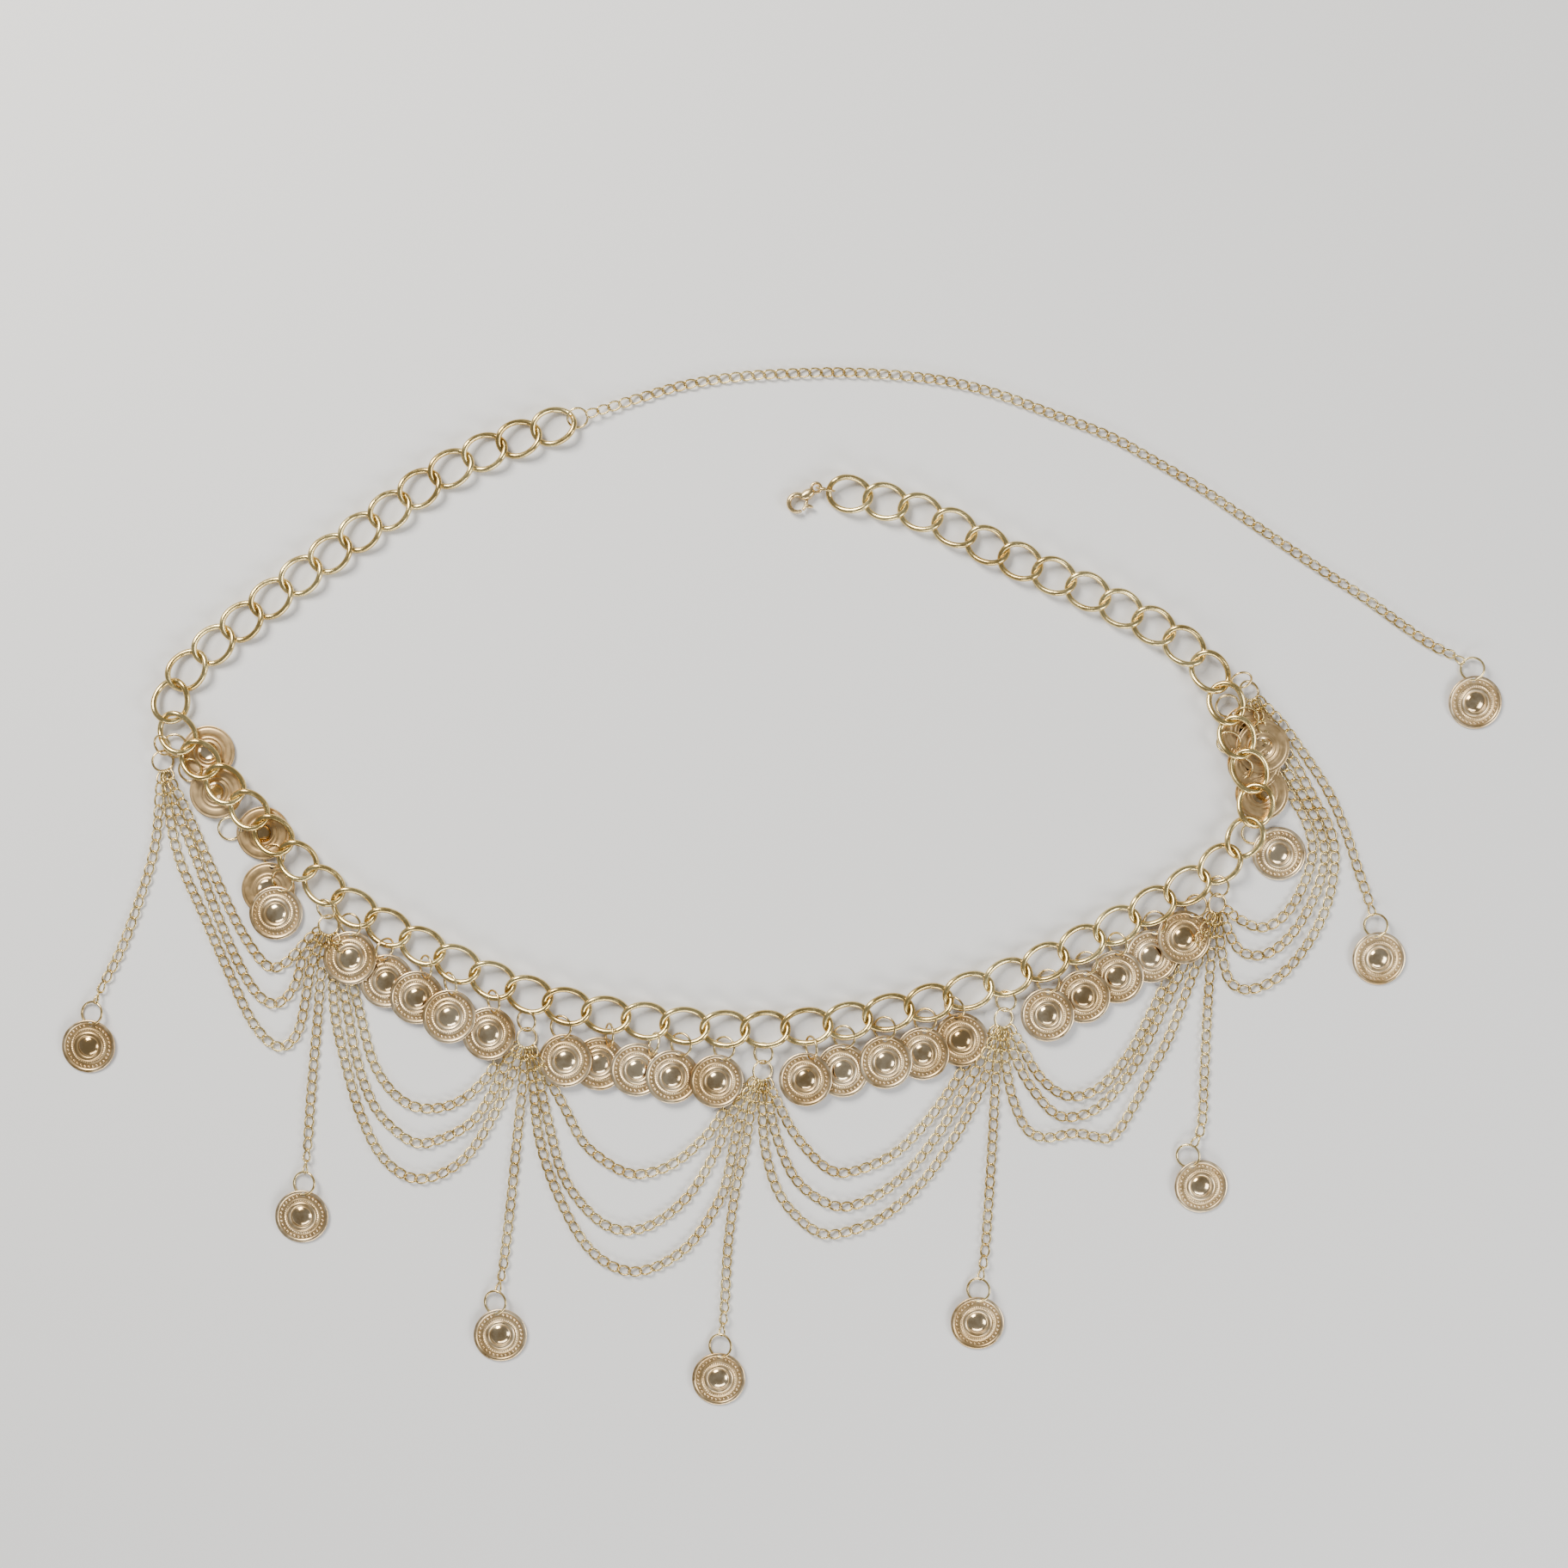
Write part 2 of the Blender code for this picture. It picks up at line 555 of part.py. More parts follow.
def parting_step(paths):
    """How far along neighbouring paths they stand clear of each other."""
    start = round(ROOT_SHORTEST / DENSE_STEP)
    last = round(ROOT_LONGEST / DENSE_STEP)
    for step in range(start, last):
        near = [path[step] for path in paths]
        gaps = [min((point - other).length for point in path[step - 10:step + 24])
                for path in paths for other in near if other is not path[step]]
        if min(gaps) > THIN_WIDTH + SEAM + 0.00005:
            return step
    return last


def gather(paths, far, metal):
    """The bunched roots of neighbouring thin chains as one tapered plate.

    Each path runs outwards from the hub. Returns the plate and each path beyond the plate's seam."""
    near = round(ROOT_START / DENSE_STEP)
    middle = (near + far) // 2
    heading = sum(((path[far] - path[middle]).normalized() for path in paths), Vector()).normalized()
    edge = min(path[far].dot(heading) for path in paths)
    sections = []
    for index in (near, middle, far):
        spread = [path[index] for path in paths]
        along = sum(((path[index + 4] - path[index]).normalized() for path in paths), Vector())
        if index == far:
            along = heading
            spread = [min(path[near:far + 20], key=lambda point: abs(point.dot(heading) - edge))
                      for path in paths]
        side = Vector((along.y, -along.x, 0)).normalized()
        middle_point = sum(spread, Vector()) / len(spread)
        reach = [(point - middle_point).dot(side) for point in spread]
        centre = middle_point + side * (max(reach) + min(reach)) / 2
        sections.append((centre, side, max(reach) - min(reach) + THIN_WIDTH, THIN_HEIGHT))
    plate = band_object("root", sections, metal)
    beyond = []
    clear = far + round((THIN_WIDTH / 2 + 4 * SEAM) / DENSE_STEP)
    for path in paths:
        for index in range(middle, clear):
            way = (path[index + 1] - path[index]).normalized()
            skew = abs(way.cross(heading).z) * THIN_WIDTH / 2
            if path[index].dot(heading) > edge + SEAM + skew:
                break
        beyond.append(path[index:])
    return plate, beyond


def hub_rings(number, links, metals):
    """The ring on a heavy link and the ring that gathers the thin chains, and the latter's centre."""
    hub = place(*HUBS[number]["ring"]) + Vector((0, 0, HUB_RING_LOW))
    if "upper" in HUBS[number]:
        matrix = Matrix.Translation(place(*HUBS[number]["upper"], 0.9))
    else:
        matrix = ring_seat(links, hub_link(number), hub, HUB_RING_RADIUS)
    upper = ring_object("ring", HUB_RING_RADIUS, HUB_RING_RADIUS, RING_WIRE, 0.0, matrix, metals["wire"])
    start = matrix.translation.xy.to_3d()
    way = (hub - start).xy.to_3d()
    reach = max(HUB_NEAREST, min(HUB_FARTHEST, way.length))
    way.normalize()
    centre = start + way * reach
    flat = Matrix.Translation(centre + Vector((0, 0, HUB_RING_FLAT)))
    lower = ring_object("ring", HUB_RING_RADIUS, HUB_RING_RADIUS, RING_WIRE, 0.0, flat, metals["wire"])
    low = Vector((0, 0, HUB_RING_FLAT - RING_WIRE / 2))
    joint = flat_band("joint", [start + way * (reach - HUB_RING_RADIUS - RING_WIRE / 2) + low,
                                start + way * (HUB_RING_RADIUS + RING_WIRE / 4) + low],
                      RING_WIRE, 3 * RING_WIRE, metals["wire"])
    return [upper, lower, joint], centre


def thin_chains(links, metals):
    """Hubs with their rings and roots, and the festoons, drops and end coins that hang from them."""
    hubs = {number: hub_rings(number, links, metals) for number in HUBS}
    centres = {number: centre for number, (_, centre) in hubs.items()}
    paths = {}
    for (start, end, layer), route in FESTOONS.items():
        points = [centres[start]] + [place(*spot) for spot in route] + [centres[end]]
        paths["festoon_{}_{}".format(start, layer)] = smooth_route(points, DENSE_STEP)
    for number, drop in DROPS.items():
        stop = end_coin("drop_coin_{}".format(number), drop, metals)
        points = [centres[number]] + [place(*spot) for spot in drop["route"]] + [stop]
        paths["drop_{}".format(number)] = smooth_route(points, DENSE_STEP)
    for number, (rings, _) in hubs.items():
        pieces = list(rings)
        arriving = "festoon_{}_".format(number - 1)
        drop = "drop_{}".format(number)
        farthest = 0
        for start in (arriving, "festoon_{}_".format(number)):
            names = [start + layer for layer in LAYERS]
            if names[0] not in paths:
                continue
            turn = -1 if start == arriving else 1
            strands = [paths[name][::turn] for name in names]
            far = parting_step(strands + [paths[drop]])
            farthest = max(far, farthest)
            plate, beyond = gather(strands, far, metals["thin"])
            pieces.append(plate)
            for name, path in zip(names, beyond):
                paths[name] = path[::turn]
        plate, beyond = gather([paths[drop]], farthest, metals["thin"])
        pieces.append(plate)
        paths[drop] = beyond[0]
        fuse(pieces, "hub_{}".format(number))
    for name, path in paths.items():
        thin_chain(name, path, metals["thin"], coin=name.startswith("drop"))


def extension(links, metals):
    """The ring on the last heavy link, the long thin chain and its coin."""
    last = links[-1]["matrix"]
    out = last.col[0].xyz.normalized()
    along = Vector((-out.y, out.x, math.tan(END_RING_TILT)))
    foot = last @ Vector((links[-1]["half"], 0, 0))
    centre = foot + out * (HUB_RING_RADIUS - RING_INSET)
    ring_object("extension_ring", HUB_RING_RADIUS, HUB_RING_RADIUS, RING_WIRE, 0.0,
                frame_matrix(centre, along, out), metals["wire"])
    points = [place(*spot) for spot in EXTENSION["route"]]
    far_side = centre + out * (HUB_RING_RADIUS + RING_WIRE / 2 + SEAM)
    start = Vector((far_side.x, far_side.y, 0))
    stop = end_coin("extension_coin", EXTENSION, metals)
    route = smooth_route([start] + points[1:] + [stop], DENSE_STEP)
    thin_chain("extension_chain", route, metals["thin"], coin=True)


def clasp(links, metals):
    """Lobster clasp, its thumb lever, and the ring that ties it to the first heavy link."""
    first = links[0]["matrix"]
    back = -first.col[0].xyz.normalized()
    link_end = first @ Vector((-links[0]["half"], 0, 0))
    inner = CLASP_RING_LENGTH - CLASP_RING_WIRE / 2
    centre = link_end + back * (inner - LINK_WIRE / 2 - CLASP_PLAY)
    centre.z = CLASP_RING_HEIGHT + CLASP_RING_WIRE / 2
    ring_object("clasp_ring", CLASP_RING_LENGTH, CLASP_RING_HEIGHT, CLASP_RING_WIRE, 0.0,
                frame_matrix(centre, back, Vector((0, 0, 1))), metals["wire"], fine=True)
    eye = centre + back * (inner - CLASP_EYE_WIRE / 2 - CLASP_PLAY + CLASP_EYE_RADIUS)
    eye.z = 0.0
    axis = (place(*CLASP_AIM) - place(*CLASP_EYE)).normalized()
    across = Vector((-axis.y, axis.x, 0))

    def spot(x, y, height):
        point = eye + axis * y + across * x
        point.z = height
        return point

    def bar(name, points, widths, low, tall):
        sections = []
        for index, (x, y) in enumerate(points):
            before = spot(*points[max(index - 1, 0)], low)
            after = spot(*points[min(index + 1, len(points) - 1)], low)
            way = after - before
            side = Vector((way.y, -way.x, 0)).normalized()
            sections.append((spot(x, y, low), side, widths[index], tall))
        return band_object(name, sections, metals["clasp"])

    def arc(start, end, count):
        turns = [math.radians(start + (end - start) * number / count) for number in range(count + 1)]
        return [(CLASP_HOOK_RADIUS * math.cos(turn), CLASP_HOOK_REACH + CLASP_HOOK_RADIUS * math.sin(turn))
                for turn in turns]

    eye_ring = ring_object("eye", CLASP_EYE_RADIUS, CLASP_EYE_RADIUS, CLASP_EYE_WIRE, 0.0,
                           Matrix.Translation(spot(0, 0, CLASP_EYE_HEIGHT)), metals["clasp"])
    shank = bar("shank", [(0, 0.0013), (0, 0.0036), (-0.0004, 0.0056)],
                [0.0030, 0.0036, 0.0022], 0.00005, CLASP_HEIGHT)
    hook_points = arc(258, 12, 9)
    hook = bar("hook", hook_points, [CLASP_BAR] * 8 + [0.9 * CLASP_BAR, 0.7 * CLASP_BAR],
               0.0002, CLASP_HEIGHT - 0.0004)
    fuse([shank, hook, eye_ring], "clasp_body")
    lever = bar("lever", [CLASP_PIVOT] + arc(-46, -2, 3), [LEVER_BAR] * 5, LEVER_LOW, LEVER_HEIGHT)
    tab = bar("tab", [(0.0022, 0.0066), (0.0031, 0.0060), (0.0043, 0.0050)],
              [0.0012, 0.0014, 0.0008], LEVER_LOW + 0.0001, LEVER_HEIGHT - 0.0002)
    fuse([lever, tab], "clasp_lever")


def build():
    clear_scene()
    metals = {
        "chain": make_metal("pale gold wire", (0.80, 0.64, 0.42), 0.22),
        "coin": make_metal("satin gold coin", (0.82, 0.66, 0.46), 0.36),
        "wire": make_metal("pale gold ring", (0.80, 0.65, 0.45), 0.24),
        "thin": make_metal("pale gold thin chain", (0.76, 0.60, 0.40), 0.28),
        "clasp": make_metal("cast gold clasp", (0.80, 0.64, 0.42), 0.26),
    }
    links = heavy_chain(metals["chain"])
    for hub, row in COIN_ROWS.items():
        coin_row(hub, row, links, metals)
    for name, rows in LOOSE_COINS.items():
        loose_coins(name, rows, metals)
    thin_chains(links, metals)
    extension(links, metals)
    clasp(links, metals)


build()
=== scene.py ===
import math
import random

import bmesh
import bpy
from mathutils import Matrix, Vector


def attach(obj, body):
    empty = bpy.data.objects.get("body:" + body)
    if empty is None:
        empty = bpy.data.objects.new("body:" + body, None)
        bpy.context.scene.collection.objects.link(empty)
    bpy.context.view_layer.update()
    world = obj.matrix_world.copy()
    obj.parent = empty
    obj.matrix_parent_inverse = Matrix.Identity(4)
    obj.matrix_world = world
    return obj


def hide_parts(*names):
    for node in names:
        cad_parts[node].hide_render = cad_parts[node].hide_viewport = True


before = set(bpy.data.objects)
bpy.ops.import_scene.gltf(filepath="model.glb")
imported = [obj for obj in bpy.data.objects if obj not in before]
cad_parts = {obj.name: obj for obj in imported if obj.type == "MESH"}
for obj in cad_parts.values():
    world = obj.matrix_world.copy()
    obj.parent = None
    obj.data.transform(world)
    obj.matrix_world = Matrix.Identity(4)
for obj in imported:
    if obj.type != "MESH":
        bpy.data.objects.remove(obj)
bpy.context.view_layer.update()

# The photograph looks straight down, so one scale turns its pixels into metres
photo = {"pixel": 0.018 / 62,  # one coin's width in metres over its width in pixels
         "centreX": 909.7, "centreY": 1031.6, "width": 1824}


def spot(x, y, height=0.0):  # photograph pixels, and a height in metres
    scale = photo["pixel"]
    return Vector(((x - photo["centreX"]) * scale, (photo["centreY"] - y) * scale, height))


# Shader arithmetic


def addNode(tree, kind, settings, inputs):
    node = tree.nodes.new(kind)
    for name, value in settings.items():
        setattr(node, name, value)
    for name, value in inputs.items():
        if isinstance(value, Signal):
            tree.links.new(value.socket, node.inputs[name])
        else:
            node.inputs[name].default_value = value
    return node


class Signal:  # a node's output that can be written in sums
    def __init__(self, tree, socket):
        self.tree = tree
        self.socket = socket

    def maths(self, operation, first, second):
        node = addNode(self.tree, "ShaderNodeMath", {"operation": operation}, {0: first, 1: second})
        return Signal(self.tree, node.outputs[0])

    def __add__(self, other):
        return self.maths("ADD", self, other)

    def __radd__(self, other):
        return self.maths("ADD", other, self)

    def __sub__(self, other):
        return self.maths("SUBTRACT", self, other)

    def __rsub__(self, other):
        return self.maths("SUBTRACT", other, self)

    def __mul__(self, other):
        return self.maths("MULTIPLY", self, other)

    def __rmul__(self, other):
        return self.maths("MULTIPLY", other, self)

    def __pow__(self, other):
        return self.maths("POWER", self, other)


def ramp(value, low, high):  # 0 at low, 1 at high, smooth between
    node = addNode(value.tree, "ShaderNodeMapRange", {"interpolation_type": "SMOOTHSTEP"},
                   {"Value": value, "From Min": low, "From Max": high})
    return Signal(value.tree, node.outputs["Result"])


def noise(tree, place, scale, detail=3.0, stretch=(1, 1, 1)):
    turned = addNode(tree, "ShaderNodeMapping", {},
                     {"Vector": place, "Scale": stretch, "Rotation": (0.3, 0.5, 0.7)})
    node = addNode(tree, "ShaderNodeTexNoise", {},
                   {"Vector": Signal(tree, turned.outputs[0]), "Scale": scale, "Detail": detail,
                    "Roughness": 0.6})
    return Signal(tree, node.outputs[0])


def mixColours(factor, first, second):
    node = addNode(factor.tree, "ShaderNodeMix", {"data_type": "RGBA"}, {0: factor, 6: first, 7: second})
    return Signal(factor.tree, node.outputs[2])


goldFinishes = {
    "heavyChainGold": {"pale": (0.83, 0.66, 0.31), "deep": (0.60, 0.42, 0.15), "polish": 0.17, "haze": 0.14,
                       "grain": 0.10, "scratch": 0.25},
    "ringGold": {"pale": (0.83, 0.66, 0.33), "deep": (0.62, 0.43, 0.17), "polish": 0.18, "haze": 0.12,
                 "grain": 0.08, "scratch": 0.20},
    "thinChainGold": {"pale": (0.79, 0.62, 0.28), "deep": (0.55, 0.38, 0.13), "polish": 0.20, "haze": 0.14,
                      "grain": 0.10, "scratch": 0.15},
    "claspGold": {"pale": (0.82, 0.64, 0.34), "deep": (0.62, 0.43, 0.19), "polish": 0.22, "haze": 0.14,
                  "grain": 0.20, "scratch": 0.20},
    "coinGold": {"pale": (0.91, 0.73, 0.47), "deep": (0.52, 0.34, 0.15), "polish": 0.27, "haze": 0.12,
                 "grain": 0.30, "scratch": 0.15, "domePolish": 0.13, "dome": 0.37, "tarnish": 0.80},
}


# Noise scales of the stains, smears, grain and polishing scratches, and how deep they are
goldWear = {"cloud": 45.0, "smear": 420.0, "grain": 5200.0, "scratch": 900.0, "bump": 0.35, "depth": 0.00006}


def makeGold(name):
    look = goldFinishes[name]
    metal = bpy.data.materials.new(name)
    metal.use_nodes = True
    tree = metal.node_tree
    shader = tree.nodes["Principled BSDF"]
    shader.inputs["Metallic"].default_value = 1.0
    place = Signal(tree, addNode(tree, "ShaderNodeTexCoord", {}, {}).outputs["Object"])
    cloud = noise(tree, place, goldWear["cloud"])
    smear = noise(tree, place, goldWear["smear"], 4.0)
    grain = noise(tree, place, goldWear["grain"], 2.0)
    scratch = noise(tree, place, goldWear["scratch"], 2.0, (1.0, 0.06, 0.06))
    worn = ramp(cloud * 0.7 + smear * 0.3, 0.38, 0.62)
    rough = look["polish"] + look["haze"] * ramp(smear, 0.3, 0.75)
    relief = grain * look["grain"] + ramp(scratch, 0.45, 0.7) * look["scratch"]
    if "dome" in look:  # the stamped coin's own coordinates, in coin radii
        coin = addNode(tree, "ShaderNodeAttribute", {"attribute_name": "coinPlace"}, {})
        parts = addNode(tree, "ShaderNodeSeparateXYZ", {}, {0: Signal(tree, coin.outputs["Vector"])})
        x, y, z = (Signal(tree, output) for output in parts.outputs)
        radius = (x * x + y * y) ** 0.5
        field = ramp(radius, look["dome"] - 0.03, look["dome"] + 0.01)
        recess = (1.0 - ramp(z, 0.008, 0.034)) * field
        worn = worn * (1.0 - recess * look["tarnish"])
        rough = (look["domePolish"] + 0.06 * smear) * (1.0 - field) + (rough + 0.10 * recess) * field
        relief = relief * (0.12 + field * 0.88)
    colour = mixColours(worn, (*look["deep"], 1.0), (*look["pale"], 1.0))
    tree.links.new(colour.socket, shader.inputs["Base Color"])
    tree.links.new(rough.socket, shader.inputs["Roughness"])
    bump = addNode(tree, "ShaderNodeBump", {},
                   {"Strength": goldWear["bump"], "Distance": goldWear["depth"], "Height": relief})
    tree.links.new(bump.outputs[0], shader.inputs["Normal"])
    return metal


metals = {name: makeGold(name) for name in goldFinishes}
print("metals made")

# Meshes


def toData(mesh, sharp=40):
    bmesh.ops.remove_doubles(mesh, verts=mesh.verts, dist=0.000002)
    bmesh.ops.recalc_face_normals(mesh, faces=mesh.faces)
    data = bpy.data.meshes.new("shape")
    mesh.to_mesh(data)
    mesh.free()
    data.shade_smooth()
    data.set_sharp_from_angle(angle=math.radians(sharp))
    return data


# One piece made of placed copies, which are pairs of data and matrix
def gathered(name, copies, metal, body, nodes=()):
    mesh = bmesh.new()
    for data, matrix in copies:
        placed = data.copy()
        placed.transform(matrix)
        mesh.from_mesh(placed)
        bpy.data.meshes.remove(placed)
    data = bpy.data.meshes.new(name)
    mesh.to_mesh(data)
    mesh.free()
    data.materials.append(metals[metal])
    piece = bpy.data.objects.new(name, data)
    bpy.context.scene.collection.objects.link(piece)
    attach(piece, body)
    if nodes:
        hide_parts(*nodes)
    return piece


def wireLoop(halfLength, halfWidth, wire, twist, steps, sides):  # a ring, or a curb link where it is twisted
    mesh = bmesh.new()
    start = bmesh.ops.create_circle(mesh, segments=sides, radius=wire / 2,
                                    matrix=Matrix.Translation((1, 0, 0)) @ Matrix.Rotation(math.pi / 2, 4, "X"))
    edges = list({edge for vert in start["verts"] for edge in vert.link_edges})
    bmesh.ops.spin(mesh, geom=start["verts"] + edges, cent=(0, 0, 0), axis=(0, 0, 1), angle=2 * math.pi,
                   steps=steps, use_merge=True)
    for vert in mesh.verts:
        angle = math.atan2(vert.co.y, vert.co.x)
        out = math.hypot(vert.co.x, vert.co.y) - 1.0
        normal = Vector((halfWidth * math.cos(angle), halfLength * math.sin(angle))).normalized()
        vert.co = Vector((halfLength * math.cos(angle) + out * normal.x,
                          halfWidth * math.sin(angle) + out * normal.y,
                          vert.co.z - twist * math.sin(2 * angle)))
    return toData(mesh, 80)


def facing(centre, along, roll=0.0):  # X along, Y level, Z up, then rolled about X
    xAxis = along.normalized()
    yAxis = Vector((-xAxis.y, xAxis.x, 0)).normalized()
    zAxis = xAxis.cross(yAxis)
    turn = Matrix((xAxis, yAxis, zAxis)).transposed().to_4x4()
    return Matrix.Translation(centre) @ turn @ Matrix.Rotation(roll, 4, "X")


def smoothRoute(points, step):  # even points on a smooth curve through the given ones
    parts = 16
    padded = [2 * points[0] - points[1]] + list(points) + [2 * points[-1] - points[-2]]
    fine = []
    for before, start, end, after in zip(padded, padded[1:], padded[2:], padded[3:]):
        for part in range(parts):
            t = part / parts
            fine.append(0.5 * (2 * start + (end - before) * t
                               + (2 * before - 5 * start + 4 * end - after) * t * t
                               + (3 * start - before - 3 * end + after) * t ** 3))
    fine.append(points[-1].copy())
    lengths = [0.0]
    for start, end in zip(fine, fine[1:]):
        lengths.append(lengths[-1] + (end - start).length)
    count = max(2, round(lengths[-1] / step))
    even = []
    index = 0
    for number in range(count + 1):
        goal = lengths[-1] * number / count
        while index < len(fine) - 2 and lengths[index + 1] < goal:
            index += 1
        span = lengths[index + 1] - lengths[index]
        even.append(fine[index].lerp(fine[index + 1], (goal - lengths[index]) / span))
    return even


# Heavy curb chain

heavyChain = {
    "halfWidth": 0.0056, "wire": 0.00195, "twist": 0.00125, "bite": 0.00008, "endPitch": 0.0131,
    "steps": 44, "sides": 14, "step": 0.0004, "wireSamples": 40,
    "linksFromClasp": 11, "linksBetweenHubs": 6, "linksToExtension": 14,
    # pixels, and the lift in millimetres where it lies over loose coins
    "route": [
        (966, 571, 0.0), (992, 576, 0.0), (1036, 585, 0.0), (1079, 599, 0.0), (1130, 625, 0.0),
        (1183, 653, 0.0), (1226, 670, 0.0), (1267, 689, 0.0), (1308, 711, 0.0), (1345, 729, 0.0),
        (1375, 750, 0.5), (1408, 780, 1.3), (1425, 816, 2.2), (1434, 858, 2.7), (1452, 896, 2.7),
        (1462, 933, 2.4), (1450, 972, 1.8), (1420, 1005, 0.7), (1381, 1030, 0.0), (1300, 1076, 0.0),
        (1216, 1119, 0.0), (1126, 1153, 0.0), (1033, 1178, 0.0), (940, 1194, 0.0), (843, 1197, 0.0),
        (750, 1187, 0.0), (660, 1171, 0.0), (570, 1139, 0.0), (491, 1100, 0.0), (411, 1056, 0.0),
        (376, 1029, 0.5), (345, 998, 1.4), (314, 965, 2.0), (285, 935, 2.2), (256, 904, 2.2),
        (226, 876, 2.0), (202, 850, 1.5), (196, 818, 0.8), (212, 785, 0.2), (247, 753, 0.0),
        (308, 703, 0.0), (379, 649, 0.0), (451, 597, 0.0), (506, 556, 0.0), (561, 527, 0.0),
        (604, 511, 0.0), (666, 489, 0.0)],
}

# Each hub's heavy link, the ring on it and the ring that gathers seven thin chains
hubs = {
    1: {"link": (200, 861), "upper": (192, 867), "lower": (190, 887)},
    2: {"link": (376, 1030), "upper": (381, 1057), "lower": (383, 1078)},
    3: {"link": (614, 1158), "upper": (613, 1187), "lower": (613, 1208)},
    4: {"link": (890, 1198), "upper": (888, 1225), "lower": (887, 1246)},
    5: {"link": (1173, 1139), "upper": (1170, 1164), "lower": (1167, 1185)},
    6: {"link": (1420, 1006), "upper": (1417, 1031), "lower": (1415, 1052)},
    7: {"link": (1411, 779), "upper": (1441, 792), "lower": (1456, 807)},
}


def heavyLinkPlaces():
    rest = heavyChain["twist"] + heavyChain["wire"] / 2
    points = [spot(x, y, rest + lift / 1000) for x, y, lift in heavyChain["route"]]
    fine = smoothRoute(points, heavyChain["step"])
    margin = heavyChain["endPitch"] / 2 / heavyChain["step"]
    marks = [margin]
    for number in sorted(hubs, reverse=True):
        hub = spot(*hubs[number]["link"])
        marks.append(min(range(len(fine)), key=lambda index: (fine[index].xy - hub.xy).length))
    marks.append(len(fine) - 1 - margin)
    counts = [heavyChain["linksFromClasp"]] + [heavyChain["linksBetweenHubs"]] * (len(hubs) - 1)
    counts.append(heavyChain["linksToExtension"])
    stops = []
    for start, end, count in zip(marks, marks[1:], counts):
        stops += [start + (end - start) * step / count for step in range(count)]
    stops.append(marks[-1])
    joints = [(before + after) / 2 for before, after in zip(stops, stops[1:])]
    joints = [2 * stops[0] - joints[0]] + joints + [2 * stops[-1] - joints[-1]]
    ends = [fine[max(0, min(len(fine) - 1, round(joint)))] for joint in joints]
    places = []
    for start, end in zip(ends, ends[1:]):
        half = ((end - start).length + heavyChain["wire"] - heavyChain["bite"]) / 2
        places.append((facing((start + end) / 2, end - start), half))
    return places


heavyPlaces = heavyLinkPlaces()
heavyCopies = []
wirePoints = []  # middle line of every heavy link's wire
for matrix, half in heavyPlaces:
    heavyCopies.append((wireLoop(half, heavyChain["halfWidth"], heavyChain["wire"], heavyChain["twist"],
                                 heavyChain["steps"], heavyChain["sides"]), matrix))
    for step in range(heavyChain["wireSamples"]):
        angle = 2 * math.pi * step / heavyChain["wireSamples"]
        wirePoints.append(matrix @ Vector((half * math.cos(angle), heavyChain["halfWidth"] * math.sin(angle),
                                           -heavyChain["twist"] * math.sin(2 * angle))))
gathered("heavyLinks", heavyCopies, "heavyChainGold", "chain",
         ["main_chain_{}".format(number) for number in range(1, 7)])
print("heavy chain:", len(heavyCopies), "links")

# Stamped coin

coinShape = {
    "radius": 0.0090, "steps": 96, "millRise": 0.00024, "millBack": 0.00014, "mill": (0.565, 0.665),
    "beads": 32, "beadCircle": 0.785, "beadSize": 0.00050, "beadHeight": 0.00006,
    "holeCircle": 0.84, "holeRadius": 0.00085,
    # distance from the middle in coin radii, and height in millimetres
    "profile": [
        (0.000, 1.20), (0.075, 1.18), (0.150, 1.10), (0.220, 0.95), (0.285, 0.72), (0.335, 0.44), (0.362, 0.22),
        (0.380, 0.10), (0.405, 0.08), (0.425, 0.20), (0.450, 0.29), (0.485, 0.31), (0.515, 0.25), (0.530, 0.12),
        (0.548, 0.06), (0.565, 0.28), (0.615, 0.33), (0.665, 0.28), (0.682, 0.06), (0.720, 0.02), (0.850, 0.02),
        (0.872, 0.06), (0.888, 0.22), (0.912, 0.30), (0.955, 0.30), (0.985, 0.24), (1.000, 0.08),
        (1.000, -0.10), (0.985, -0.20), (0.955, -0.16), (0.912, -0.10), (0.888, -0.14), (0.868, -0.24),
        (0.850, -0.26), (0.720, -0.26), (0.690, -0.22), (0.665, -0.08), (0.615, -0.04), (0.565, -0.08),
        (0.548, -0.24), (0.530, -0.20), (0.515, -0.09), (0.485, -0.04), (0.450, -0.06), (0.425, -0.14),
        (0.405, -0.26), (0.385, -0.24), (0.350, -0.02), (0.300, 0.36), (0.220, 0.66), (0.120, 0.86),
        (0.000, 0.92)],
}
jumpRing = {"radius": 0.0038, "wire": 0.0008, "steps": 36, "sides": 10, "steepest": 0.8}


